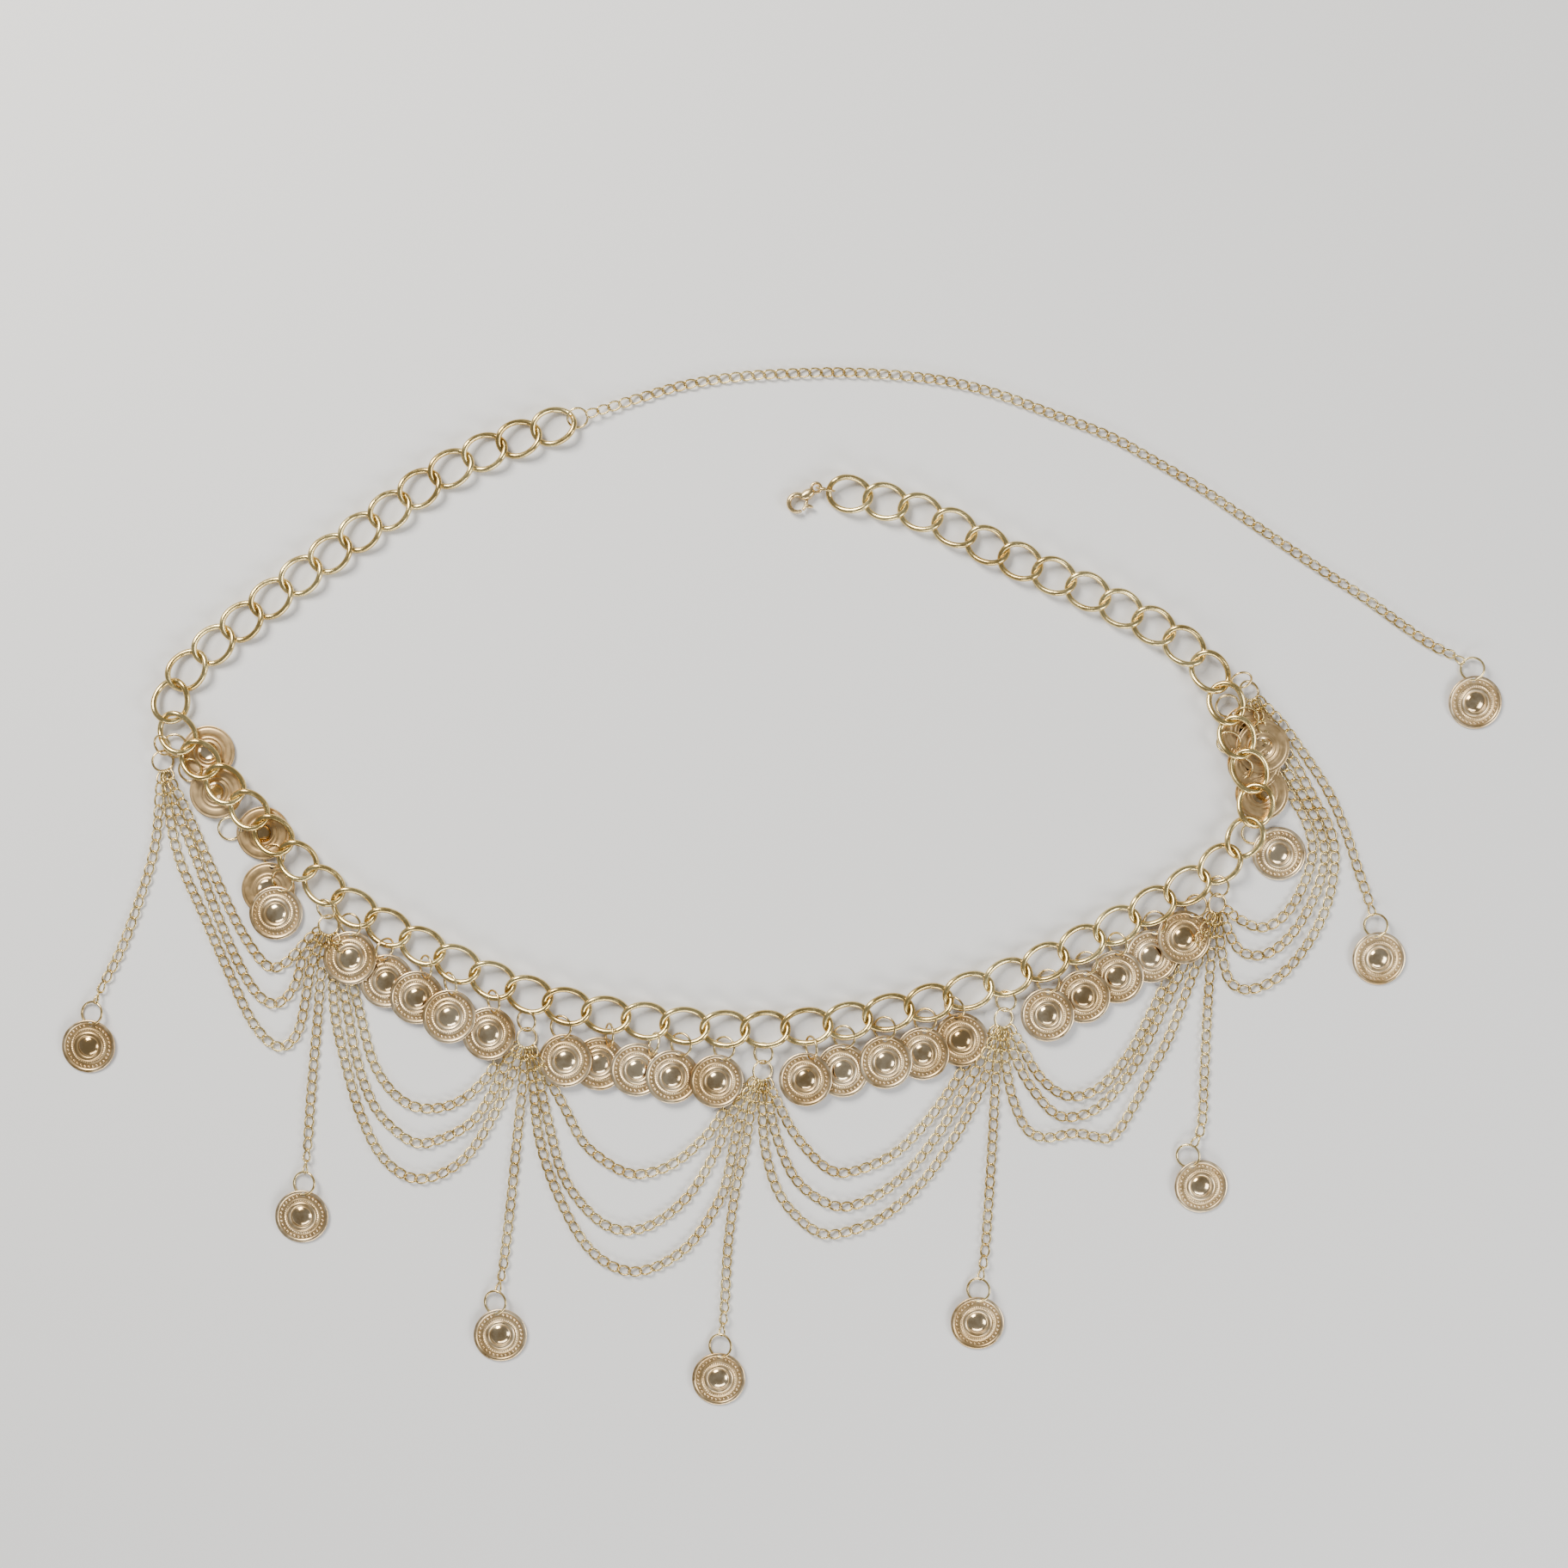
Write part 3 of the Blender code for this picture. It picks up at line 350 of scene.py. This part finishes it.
def stampedCoin():
    radius = coinShape["radius"]
    mesh = bmesh.new()
    verts = [mesh.verts.new((r * radius, 0, z / 1000)) for r, z in coinShape["profile"]]
    edges = [mesh.edges.new(pair) for pair in zip(verts, verts[1:])]
    bmesh.ops.spin(mesh, geom=verts + edges, cent=(0, 0, 0), axis=(0, 0, 1), angle=2 * math.pi,
                   steps=coinShape["steps"], use_merge=True)
    bmesh.ops.remove_doubles(mesh, verts=mesh.verts, dist=0.000002)
    low, high = coinShape["mill"]
    for vert in mesh.verts:
        out = math.hypot(vert.co.x, vert.co.y) / radius
        turn = round(math.atan2(vert.co.y, vert.co.x) / (2 * math.pi / coinShape["steps"]))
        if low - 0.01 < out < high + 0.01 and turn % 2:
            vert.co.z -= coinShape["millRise"] if vert.co.z > 0 else coinShape["millBack"]
    bmesh.ops.recalc_face_normals(mesh, faces=mesh.faces)
    blank = bpy.data.objects.new("blank", toData(mesh, 50))
    bore = bmesh.new()
    bmesh.ops.create_cone(bore, cap_ends=True, segments=20, radius1=coinShape["holeRadius"],
                          radius2=coinShape["holeRadius"], depth=0.004,
                          matrix=Matrix.Translation((coinShape["holeCircle"] * radius, 0, 0)))
    drill = bpy.data.objects.new("drill", toData(bore))
    for thing in (blank, drill):
        bpy.context.scene.collection.objects.link(thing)
    hole = blank.modifiers.new("hole", "BOOLEAN")
    hole.operation = "DIFFERENCE"
    hole.solver = "EXACT"
    hole.object = drill
    graph = bpy.context.evaluated_depsgraph_get()
    solid = bpy.data.meshes.new_from_object(blank.evaluated_get(graph))
    for thing in (blank, drill):
        bpy.data.objects.remove(thing)
    mesh = bmesh.new()
    mesh.from_mesh(solid)
    for number in range(coinShape["beads"]):
        angle = 2 * math.pi * (number + 0.5) / coinShape["beads"]
        middle = Vector((coinShape["beadCircle"] * radius, 0, coinShape["beadHeight"]))
        middle = Matrix.Rotation(angle, 4, "Z") @ middle
        drilled = Vector((coinShape["holeCircle"] * radius, 0, coinShape["beadHeight"]))
        if (middle - drilled).length < coinShape["holeRadius"] + coinShape["beadSize"]:
            continue
        bmesh.ops.create_uvsphere(mesh, u_segments=6, v_segments=4, radius=coinShape["beadSize"],
                                  matrix=Matrix.Translation(middle) @ Matrix.Diagonal((1, 1, 0.7, 1)))
    own = mesh.verts.layers.float_vector.new("coinPlace")
    for vert in mesh.verts:
        vert[own] = vert.co / radius
    return toData(mesh, 50)


coinData = stampedCoin()
ringData = wireLoop(jumpRing["radius"], jumpRing["radius"], jumpRing["wire"], 0.0, jumpRing["steps"],
                    jumpRing["sides"])
print("coin:", len(coinData.polygons), "faces")


def wireHeight(point):  # height of the heavy wire nearest to a point seen from above
    return min(wirePoints, key=lambda other: (other.xy - point.xy).length).z


def lowestCentre(radius, wire, roll):  # a rolled ring's centre height when its low side touches the surface
    return radius * math.sin(abs(roll)) + wire / 2


def hungCoin(centre, toRing, lean, roll, ringHeight, face=1):  # matrices of a coin and the ring in its hole
    toRing = Vector((toRing.x, toRing.y, 0)).normalized()
    coin = Matrix.Translation(centre) @ lean @ facing(Vector(), toRing)
    hole = coin @ Vector((coinShape["holeCircle"] * coinShape["radius"], 0, 0))
    if face < 0:
        coin = coin @ Matrix.Rotation(math.pi, 4, "X")
    steepest = jumpRing["steepest"]
    rise = max(-steepest, min(steepest, (ringHeight - hole.z) / jumpRing["radius"]))
    along = toRing * math.sqrt(1 - rise * rise) + Vector((0, 0, rise))
    return coin, facing(hole + along * jumpRing["radius"], -along, roll)


# Belt coins between the hubs

# Coin and ring centres in pixels, 1 where the coin lies over the next, and the ring's roll in degrees
beltRows = {
    2: [(408, 1114, 409, 1081, 1, 20), (450, 1141, 449, 1106, 0, -50), (485, 1160, 496, 1126, 0, 48),
        (523, 1182, 525, 1146, 1, 50), (569, 1202, 575, 1165, 0, 50)],
    3: [(658, 1233, 653, 1196, 1, 22), (697, 1237, 711, 1199, 0, 60), (741, 1244, 762, 1212, 0, 60),
        (782, 1252, 792, 1216, 0, 25), (834, 1257, 842, 1221, 0, 25)],
    4: [(937, 1255, 944, 1215, 1, 60), (980, 1245, 982, 1207, 0, 22), (1030, 1235, 1029, 1198, 1, 22),
        (1073, 1225, 1076, 1188, 1, 22), (1118, 1209, 1110, 1172, 0, 40)],
    5: [(1218, 1180, 1219, 1142, 1, 22), (1260, 1159, 1263, 1121, 1, 25), (1299, 1136, 1299, 1098, 1, 45),
        (1339, 1112, 1343, 1074, 0, 22), (1376, 1090, 1391, 1052, 0, 30)],
}
beltRow = {"rest": [0.0022, 0.0020, 0.0018, 0.0020, 0.0022], "step": 0.00035, "spacing": 0.0130, "rock": 2.0}
ringCopies = []
shake = random.Random(7)
for hub, row in beltRows.items():
    coinCopies = []
    for index, (x, y, ringX, ringY, overNext, roll) in enumerate(row):
        left = 0.0 if index == 0 else (-1 if row[index - 1][4] else 1) * beltRow["step"]
        right = 0.0 if index == 4 else (1 if overNext else -1) * beltRow["step"]
        other = row[index + 1] if index < 4 else row[index - 1]
        way = (spot(*other[:2]) - spot(x, y)).normalized() * (1 if index < 4 else -1)
        lean = Matrix.Rotation(math.atan2(right - left, beltRow["spacing"]), 4, Vector((way.y, -way.x, 0)))
        lean = Matrix.Rotation(math.radians(shake.uniform(-beltRow["rock"], beltRow["rock"])), 4, way) @ lean
        centre = spot(x, y, beltRow["rest"][index] + (left + right) / 2)
        ringSpot = spot(ringX, ringY)
        tilt = math.radians(roll)
        height = max(wireHeight(ringSpot), lowestCentre(jumpRing["radius"], jumpRing["wire"], tilt))
        coin, ring = hungCoin(centre, ringSpot - centre, lean, tilt, height)
        coinCopies.append((coinData, coin))
        ringCopies.append((ringData, ring))
    gathered("coinRow_{}".format(hub), coinCopies, "coinGold", "chain", ["coin_row_{}".format(hub)])

# Coins under and beside the lifted chain: coin and ring centres in pixels, height in mm, face up or down, roll
looseCoins = {
    "coins_1_upper": [(242, 875, 217, 870, 0.50, -1, 8), (252, 921, 222, 896, 1.15, -1, 12)],
    "coins_1_lower": [(306, 969, 269, 964, 0.50, -1, 8), (312, 1034, 318, 1000, 0.50, -1, 10),
                      (321, 1062, 329, 1024, 1.20, 1, 14)],
    "coins_6_upper": [(1452, 851, 1430, 825, 1.65, -1, 18), (1468, 869, 1450, 838, 2.05, -1, 20),
                      (1458, 888, 1431, 866, 1.65, -1, 18), (1467, 923, 1445, 897, 1.63, -1, 18)],
    "coins_6_lower": [(1488, 993, 1461, 971, 0.50, 1, 8)],
}
turnedLift = 0.0004  # a coin with its face down is raised by this
for node, row in looseCoins.items():
    coinCopies = []
    for x, y, ringX, ringY, height, face, roll in row:
        tilt = math.radians(roll)
        centre = spot(x, y, height / 1000 + (turnedLift if face < 0 else 0.0))
        low = lowestCentre(jumpRing["radius"], jumpRing["wire"], tilt)
        ringHeight = low + height / 1000 - jumpRing["wire"] / 2
        toRing = spot(ringX, ringY) - centre
        coin, ring = hungCoin(centre, toRing, Matrix.Identity(4), tilt, ringHeight, face)
        coinCopies.append((coinData, coin))
        ringCopies.append((ringData, ring))
    gathered("loose_{}".format(node), coinCopies, "coinGold", "chain", [node])
gathered("beltRings", ringCopies, "ringGold", "chain")
print("belt coins:", len(ringCopies))

# Hub rings

hubRing = {"radius": 0.0034, "wire": 0.0008, "steps": 34, "sides": 10, "roll": math.radians(25),
           "reach": 0.0059, "widest": 1.5, "spread": 1.15, "endInset": 0.0020, "endRoll": math.radians(28)}
hubData = wireLoop(hubRing["radius"], hubRing["radius"], hubRing["wire"], 0.0, hubRing["steps"],
                   hubRing["sides"])
hubCopies = []
hubPlaces = {}
for number, hub in hubs.items():
    lowest = lowestCentre(hubRing["radius"], hubRing["wire"], hubRing["roll"])
    upper = spot(*hub["upper"])
    upper.z = max(wireHeight(upper), lowest)
    way = spot(*hub["lower"]) - upper
    drop = upper.z - lowest
    way = Vector((way.x, way.y, 0)).normalized() * math.sqrt(hubRing["reach"] ** 2 - drop ** 2)
    way.z = -drop
    level = Vector((way.x, way.y, 0))
    hubPlaces[number] = facing(upper + way, level, -hubRing["roll"])
    hubCopies += [(hubData, facing(upper, way, hubRing["roll"])), (hubData, hubPlaces[number])]
gathered("hubRings", hubCopies, "ringGold", "chain", ["hub_{}".format(number) for number in hubs])

# Thin curb chains

thinChain = {"pitch": 0.00387, "halfWidth": 0.00145, "wire": 0.0007, "twist": 0.00045, "bite": 0.00004,
             "steps": 12, "sides": 5, "roll": 9.0, "levels": (0.0, 0.0013, 0.0026), "nearShare": 0.45,
             "firstLift": 0.4}
thinRest = thinChain["twist"] + thinChain["wire"] / 2
thinHalf = thinChain["pitch"] / 2 + thinChain["wire"] / 2 - thinChain["bite"]
thinData = wireLoop(thinHalf, thinChain["halfWidth"], thinChain["wire"], thinChain["twist"],
                    thinChain["steps"], thinChain["sides"])

# Between neighbouring hubs, hub ends left out, in pixels
festoons = {
    (1, "inner"): [(213, 933), (237, 990), (260, 1042), (282, 1086), (306, 1120), (321, 1127), (340, 1113),
                   (360, 1090)],
    (1, "middle"): [(204, 940), (222, 983), (246, 1048), (273, 1112), (297, 1154), (321, 1169), (343, 1147),
                    (351, 1116), (366, 1096)],
    (1, "outer"): [(197, 950), (209, 1002), (236, 1063), (264, 1127), (294, 1190), (324, 1219), (346, 1202),
                   (356, 1158), (361, 1125), (371, 1101)],
    (2, "outer"): [(386, 1120), (389, 1178), (400, 1230), (419, 1296), (447, 1349), (488, 1372), (539, 1349),
                   (576, 1294), (598, 1245)],
    (2, "middle"): [(393, 1115), (403, 1172), (416, 1237), (437, 1290), (471, 1324), (497, 1330), (546, 1308),
                    (575, 1267), (588, 1238)],
    (2, "inner"): [(401, 1110), (417, 1172), (434, 1236), (462, 1276), (494, 1290), (533, 1282), (564, 1256),
                   (580, 1232)],
    (3, "outer"): [(620, 1262), (627, 1324), (648, 1388), (682, 1449), (722, 1477), (760, 1475), (804, 1446),
                   (838, 1394), (847, 1366), (852, 1340), (860, 1305)],
    (3, "middle"): [(627, 1255), (639, 1310), (657, 1372), (696, 1420), (733, 1432), (770, 1418), (804, 1387),
                    (831, 1343), (853, 1293)],
    (3, "inner"): [(634, 1247), (656, 1287), (680, 1331), (720, 1361), (746, 1366), (783, 1354), (823, 1320),
                   (846, 1287)],
    (4, "outer"): [(887, 1300), (891, 1342), (908, 1392), (943, 1429), (971, 1436), (1023, 1418), (1073, 1375),
                   (1114, 1317), (1142, 1263)],
    (4, "middle"): [(896, 1290), (904, 1324), (927, 1374), (970, 1403), (1010, 1396), (1054, 1365),
                    (1096, 1312),
                    (1130, 1253)],
    (4, "inner"): [(903, 1278), (924, 1319), (960, 1358), (987, 1364), (1038, 1344), (1077, 1306), (1105, 1268),
                   (1121, 1242)],
    (5, "outer"): [(1170, 1237), (1178, 1278), (1195, 1315), (1218, 1324), (1247, 1318), (1270, 1321),
                   (1293, 1324), (1318, 1288), (1339, 1246), (1360, 1206), (1380, 1154), (1396, 1112)],
    (5, "middle"): [(1180, 1228), (1197, 1261), (1227, 1296), (1251, 1299), (1280, 1287), (1315, 1247),
                    (1339, 1202), (1364, 1150), (1386, 1105)],
    (5, "inner"): [(1188, 1216), (1210, 1253), (1243, 1276), (1281, 1264), (1316, 1222), (1345, 1166),
                   (1377, 1100)],
    (6, "outer"): [(1421, 1104), (1429, 1140), (1451, 1152), (1487, 1137), (1520, 1100), (1544, 1052),
                   (1553, 1000), (1547, 963), (1528, 928), (1506, 887), (1480, 850)],
    (6, "middle"): [(1430, 1086), (1443, 1107), (1471, 1111), (1502, 1088), (1528, 1045), (1541, 1000),
                    (1535, 963), (1517, 928), (1495, 894), (1471, 857)],
    (6, "inner"): [(1436, 1066), (1468, 1080), (1496, 1063), (1516, 1030), (1527, 994), (1522, 962),
                   (1505, 930), (1484, 899), (1460, 864)],
}

# From each hub to its end coin, then the coin and its ring
drops = {
    1: {"route": [(185, 940), (180, 985), (165, 1038), (141, 1104), (116, 1152)],
        "coin": (103, 1217), "ring": (107, 1181)},
    2: {"route": [(374, 1130), (369, 1190), (362, 1270), (358, 1330)],
        "coin": (351, 1415), "ring": (354, 1377)},
    3: {"route": [(608, 1262), (602, 1320), (593, 1410), (585, 1475)],
        "coin": (582, 1553), "ring": (576, 1513)},
    4: {"route": [(873, 1295), (867, 1335), (861, 1360), (855, 1388), (849, 1430), (846, 1460), (843, 1520)],
        "coin": (836, 1604), "ring": (838, 1562)},
    5: {"route": [(1159, 1240), (1155, 1320), (1150, 1400), (1146, 1455)],
        "coin": (1137, 1539), "ring": (1138, 1499)},
    6: {"route": [(1409, 1110), (1405, 1170), (1401, 1250), (1398, 1310)],
        "coin": (1397, 1380), "ring": (1385, 1352)},
    7: {"route": [(1490, 840), (1519, 880), (1545, 920), (1565, 966), (1581, 1015), (1590, 1040)],
        "coin": (1604, 1115), "ring": (1600, 1077)},
}
extension = {
    "route": [(697, 481), (750, 461), (800, 447), (860, 438), (925, 434), (985, 433), (1040, 436), (1100, 443),
              (1160, 458), (1220, 480), (1290, 507), (1350, 540), (1400, 570), (1450, 604), (1500, 638),
              (1545, 668), (1590, 697), (1630, 726), (1665, 750), (1690, 762)],
    "coin": (1716, 817), "ring": (1712, 776),
}


def onHubRing(number, towards):  # where a thin chain holds the lower ring
    ring = hubPlaces[number]
    way = ring.inverted() @ towards
    widest = hubRing["widest"]
    angle = max(-widest, min(widest, math.atan2(way.y, way.x) * hubRing["spread"]))
    return ring @ Vector((hubRing["radius"] * math.cos(angle), hubRing["radius"] * math.sin(angle), 0))


def thinLinks(points, endRolls=()):
    joints = smoothRoute(points, thinChain["pitch"])
    copies = []
    count = len(joints) - 1
    for number, (start, end) in enumerate(zip(joints, joints[1:])):
        roll = math.radians(shake.uniform(-thinChain["roll"], thinChain["roll"]))
        fromEnd = count - 1 - number
        if fromEnd < len(endRolls):
            roll = math.radians(endRolls[fromEnd])
        stretch = Matrix.Diagonal(((end - start).length / thinChain["pitch"], 1, 1, 1))
        copies.append((thinData, facing((start + end) / 2, end - start, roll) @ stretch))
    return copies


def climb(hub, route, level):  # route points from a hub's lower ring outwards
    points = [spot(x, y, thinRest) for x, y in route]
    start = onHubRing(hub, points[0])
    near = start.lerp(points[0], thinChain["nearShare"])
    near.z = thinRest + thinChain["levels"][level]
    points[0].z += thinChain["levels"][level] * thinChain["firstLift"]
    return [start, near] + points


levelOf = {"outer": 0, "middle": 1, "inner": 2}
for first in range(1, 7):
    copies = []
    for layer in levelOf:
        route = festoons[(first, layer)]
        leaving = climb(first, route, levelOf[layer])
        arriving = climb(first + 1, route[::-1], (levelOf[layer] + 1) % 3)[::-1]
        middle = len(route) // 2
        copies += thinLinks(leaving[:2 + middle] + arriving[middle:])
    gathered("festoonLinks_{}".format(first), copies, "thinChainGold", "chain",
             ["festoon_{}_{}".format(first, layer) for layer in levelOf])
    print("festoon", first, ":", len(copies), "links")

# End coins

endCoin = {"lean": math.radians(5.0), "roll": math.radians(16), "rest": 0.00027, "ringHeight": 0.00155,
           "ringEnd": 0.0016, "lastRolls": (62, 38, 16)}


def endPieces(name, drop, coinNode, body):
    centre = spot(*drop["coin"])
    toRing = (spot(*drop["ring"]) - centre).normalized()
    centre.z = endCoin["rest"] + coinShape["radius"] * math.sin(endCoin["lean"])
    lean = Matrix.Rotation(endCoin["lean"], 4, Vector((toRing.y, -toRing.x, 0)))
    coin, ring = hungCoin(centre, toRing, lean, endCoin["roll"], endCoin["ringHeight"])
    gathered("{}Coin".format(name), [(coinData, coin)], "coinGold", body, [coinNode])
    gathered("{}Ring".format(name), [(ringData, ring)], "ringGold", body)
    middle = ring.translation
    back = (spot(*drop["route"][-1]) - middle)
    back = Vector((back.x, back.y, 0)).normalized()
    stop = middle + back * jumpRing["radius"]
    stop.z = endCoin["ringEnd"]
    return stop


dropCopies = []
for number, drop in drops.items():
    stop = endPieces("end_{}".format(number), drop, "drop_coin_{}".format(number), "end_coin_{}".format(number))
    dropCopies += thinLinks(climb(number, drop["route"], 1) + [stop], endCoin["lastRolls"])
gathered("dropLinks", dropCopies, "thinChainGold", "chain",
         ["drop_{}".format(number) for number in drops])
print("drops:", len(dropCopies), "links")

# Extension: ring on the last heavy link, long thin chain and its coin

lastPlace, lastHalf = heavyPlaces[-1]
lastOut = (lastPlace.to_3x3() @ Vector((1, 0, 0))).normalized()
lastFoot = lastPlace @ Vector((lastHalf, 0, 0))
extensionRingMiddle = lastFoot + lastOut * (hubRing["radius"] - hubRing["endInset"])
gathered("extensionJoint", [(hubData, facing(extensionRingMiddle, lastOut, hubRing["endRoll"]))],
         "ringGold", "chain", ["extension_ring"])
stop = endPieces("extension", extension, "extension_coin", "extension_end_coin")
start = extensionRingMiddle + lastOut * hubRing["radius"]
route = [start] + [spot(x, y, thinRest) for x, y in extension["route"][1:]] + [stop]
extensionCopies = thinLinks(route, endCoin["lastRolls"])
gathered("extensionLinks", extensionCopies, "thinChainGold", "chain", ["extension_chain"])
print("extension:", len(extensionCopies), "links")

# Lobster clasp

clasp = {
    "eye": (951, 575), "aim": (930, 592), "hookRadius": 0.0029, "hookReach": 0.0082, "eyeRadius": 0.0016,
    "eyeWire": 0.0011, "eyeHeight": 0.0021, "middle": 0.0016, "sides": 12, "hookSteps": 24,
    "ringLength": 0.0031, "ringHeight": 0.0025, "ringWire": 0.0007, "play": 0.0006,
    "ringRoll": math.radians(78),
}
firstPlace, firstHalf = heavyPlaces[0]
firstBack = (firstPlace.to_3x3() @ Vector((-1, 0, 0))).normalized()
firstFoot = firstPlace @ Vector((-firstHalf, 0, 0))
ringInner = clasp["ringLength"] - clasp["ringWire"] / 2
claspRingMiddle = firstFoot + firstBack * (ringInner - heavyChain["wire"] / 2 - clasp["play"])
claspRingMiddle.z = clasp["ringHeight"] + clasp["ringWire"] / 2
claspEye = claspRingMiddle + firstBack * (ringInner - clasp["eyeWire"] / 2 - clasp["play"] + clasp["eyeRadius"])
claspAxis = (spot(*clasp["aim"]) - spot(*clasp["eye"])).normalized()
claspAcross = Vector((-claspAxis.y, claspAxis.x, 0))


def claspPoint(x, y, height):
    point = claspEye + claspAxis * y + claspAcross * x
    point.z = height
    return point


def castBar(stations):  # a rounded bar through points of x, y, height, half width and half depth
    mesh = bmesh.new()
    lastEdges = []
    for index, (x, y, height, halfWide, halfDeep) in enumerate(stations):
        before = claspPoint(*stations[max(index - 1, 0)][:3])
        after = claspPoint(*stations[min(index + 1, len(stations) - 1)][:3])
        turn = facing(claspPoint(x, y, height), after - before) @ Matrix.Rotation(math.pi / 2, 4, "Y")
        circle = bmesh.ops.create_circle(mesh, segments=clasp["sides"], radius=1.0, cap_ends=index == 0,
                                         matrix=turn @ Matrix.Diagonal((halfDeep, halfWide, 1, 1)))
        edges = list({edge for vert in circle["verts"] for edge in vert.link_edges})
        if lastEdges:
            bmesh.ops.bridge_loops(mesh, edges=lastEdges + edges)
        lastEdges = edges
    bmesh.ops.contextual_create(mesh, geom=lastEdges)
    return toData(mesh, 50)


def hookArc(start, end, count):
    turns = [math.radians(start + (end - start) * number / count) for number in range(count + 1)]
    return [(clasp["hookRadius"] * math.cos(turn), clasp["hookReach"] + clasp["hookRadius"] * math.sin(turn))
            for turn in turns]


middle = clasp["middle"]
hook = []  # each bar's stations: x, y, height, half width and half depth
for index, (x, y) in enumerate(hookArc(262, 14, clasp["hookSteps"])):
    share = index / clasp["hookSteps"]
    hook.append((x, y, middle, 0.00092 - 0.00034 * share ** 2, 0.00135 - 0.00045 * share ** 2))
hook.append((hook[-1][0], hook[-1][1] - 0.0003, middle, 0.00035, 0.0005))
shank = [(0.0001, 0.0010, middle, 0.0006, 0.0008), (0.0001, 0.0014, middle, 0.0012, 0.0013),
         (0.0000, 0.0024, middle, 0.0016, 0.0015), (-0.0001, 0.0036, middle, 0.0019, 0.0015),
         (-0.0003, 0.0048, middle, 0.0017, 0.0015), (-0.0007, 0.0058, middle, 0.0010, 0.0014),
         (-0.0009, 0.0063, middle, 0.0005, 0.0009)]
eyeData = wireLoop(clasp["eyeRadius"], clasp["eyeRadius"], clasp["eyeWire"], 0.0, 28, 12)
still = Matrix.Identity(4)
gathered("claspHook", [(castBar(shank), still), (castBar(hook), still),
                       (eyeData, Matrix.Translation(claspPoint(0, 0, clasp["eyeHeight"])))],
         "claspGold", "chain", ["clasp_body"])
lever = [(0.0013, 0.0050, middle, 0.0004, 0.0005), (0.0017, 0.0055, middle, 0.0006, 0.0008)]
for x, y in hookArc(-46, -2, 8):
    lever.append((x, y, middle, 0.00055, 0.0008))
lever.append((lever[-1][0], lever[-1][1] + 0.0002, middle, 0.0003, 0.0005))
tab = [(0.0019, 0.0066, middle, 0.0004, 0.0005), (0.0025, 0.0064, middle, 0.0007, 0.0008),
       (0.0033, 0.0058, middle, 0.0007, 0.0008), (0.0040, 0.0052, middle, 0.0005, 0.0007),
       (0.0045, 0.0048, middle, 0.0002, 0.0004)]
gathered("claspLever", [(castBar(lever), still), (castBar(tab), still)], "claspGold", "lever",
         ["clasp_lever"])
linkData = wireLoop(clasp["ringLength"], clasp["ringHeight"], clasp["ringWire"], 0.0, 32, 10)
gathered("claspLink", [(linkData, facing(claspRingMiddle, firstBack, clasp["ringRoll"]))], "ringGold",
         "chain", ["clasp_ring"])
print("clasp made")

# Studio

studio = {
    "floor": (0.80, 0.79, 0.77), "floorSize": 40.0, "floorGap": 0.0002, "lens": 50.0, "sensor": 36.0,
    "sky": 0.30, "cameraLift": 0.001,
    # name, place, size, watts and colour
    "lights": [
        ("keyLight", (-0.55, 0.75, 0.85), (0.50, 0.50), 24.0, (1.0, 0.97, 0.92)),
        ("fillLight", (0.95, -0.35, 0.70), (0.50, 0.50), 9.0, (0.95, 0.97, 1.0)),
        ("rimLight", (0.10, -1.05, 0.45), (0.90, 0.25), 8.0, (1.0, 1.0, 1.0))],
}


def softLight(name, place, size, power, colour):  # aimed at the middle of the chain
    light = bpy.data.lights.new(name, "AREA")
    light.shape = "RECTANGLE"
    light.size, light.size_y = size
    light.energy = power
    light.color = colour
    lamp = bpy.data.objects.new(name, light)
    lamp.location = place
    lamp.rotation_euler = (-Vector(place)).to_track_quat("-Z", "Y").to_euler()
    bpy.context.scene.collection.objects.link(lamp)


floorMesh = bmesh.new()
bmesh.ops.create_grid(floorMesh, x_segments=1, y_segments=1, size=studio["floorSize"])
floorData = bpy.data.meshes.new("floor")
floorMesh.to_mesh(floorData)
floorMesh.free()
floorMetal = bpy.data.materials.new("floorPaper")
floorMetal.use_nodes = True
paper = floorMetal.node_tree.nodes["Principled BSDF"]
paper.inputs["Base Color"].default_value = (*studio["floor"], 1.0)
paper.inputs["Roughness"].default_value = 0.85
floorData.materials.append(floorMetal)
floor = bpy.data.objects.new("floor", floorData)
floor.location.z = -studio["floorGap"]
bpy.context.scene.collection.objects.link(floor)

for light in studio["lights"]:
    softLight(*light)
world = bpy.data.worlds.new("softRoom")
world.use_nodes = True
world.node_tree.nodes["Background"].inputs["Color"].default_value = (0.92, 0.95, 1.0, 1.0)
world.node_tree.nodes["Background"].inputs["Strength"].default_value = studio["sky"]
bpy.context.scene.world = world

lens = bpy.data.cameras.new("camera")
lens.lens = studio["lens"]
lens.sensor_width = studio["sensor"]
camera = bpy.data.objects.new("camera", lens)
middlePixel = photo["width"] / 2
distance = photo["width"] * photo["pixel"] * studio["lens"] / studio["sensor"]
camera.location = spot(middlePixel, middlePixel, distance + studio["cameraLift"])
bpy.context.scene.collection.objects.link(camera)
bpy.context.scene.camera = camera

print("scene ready")
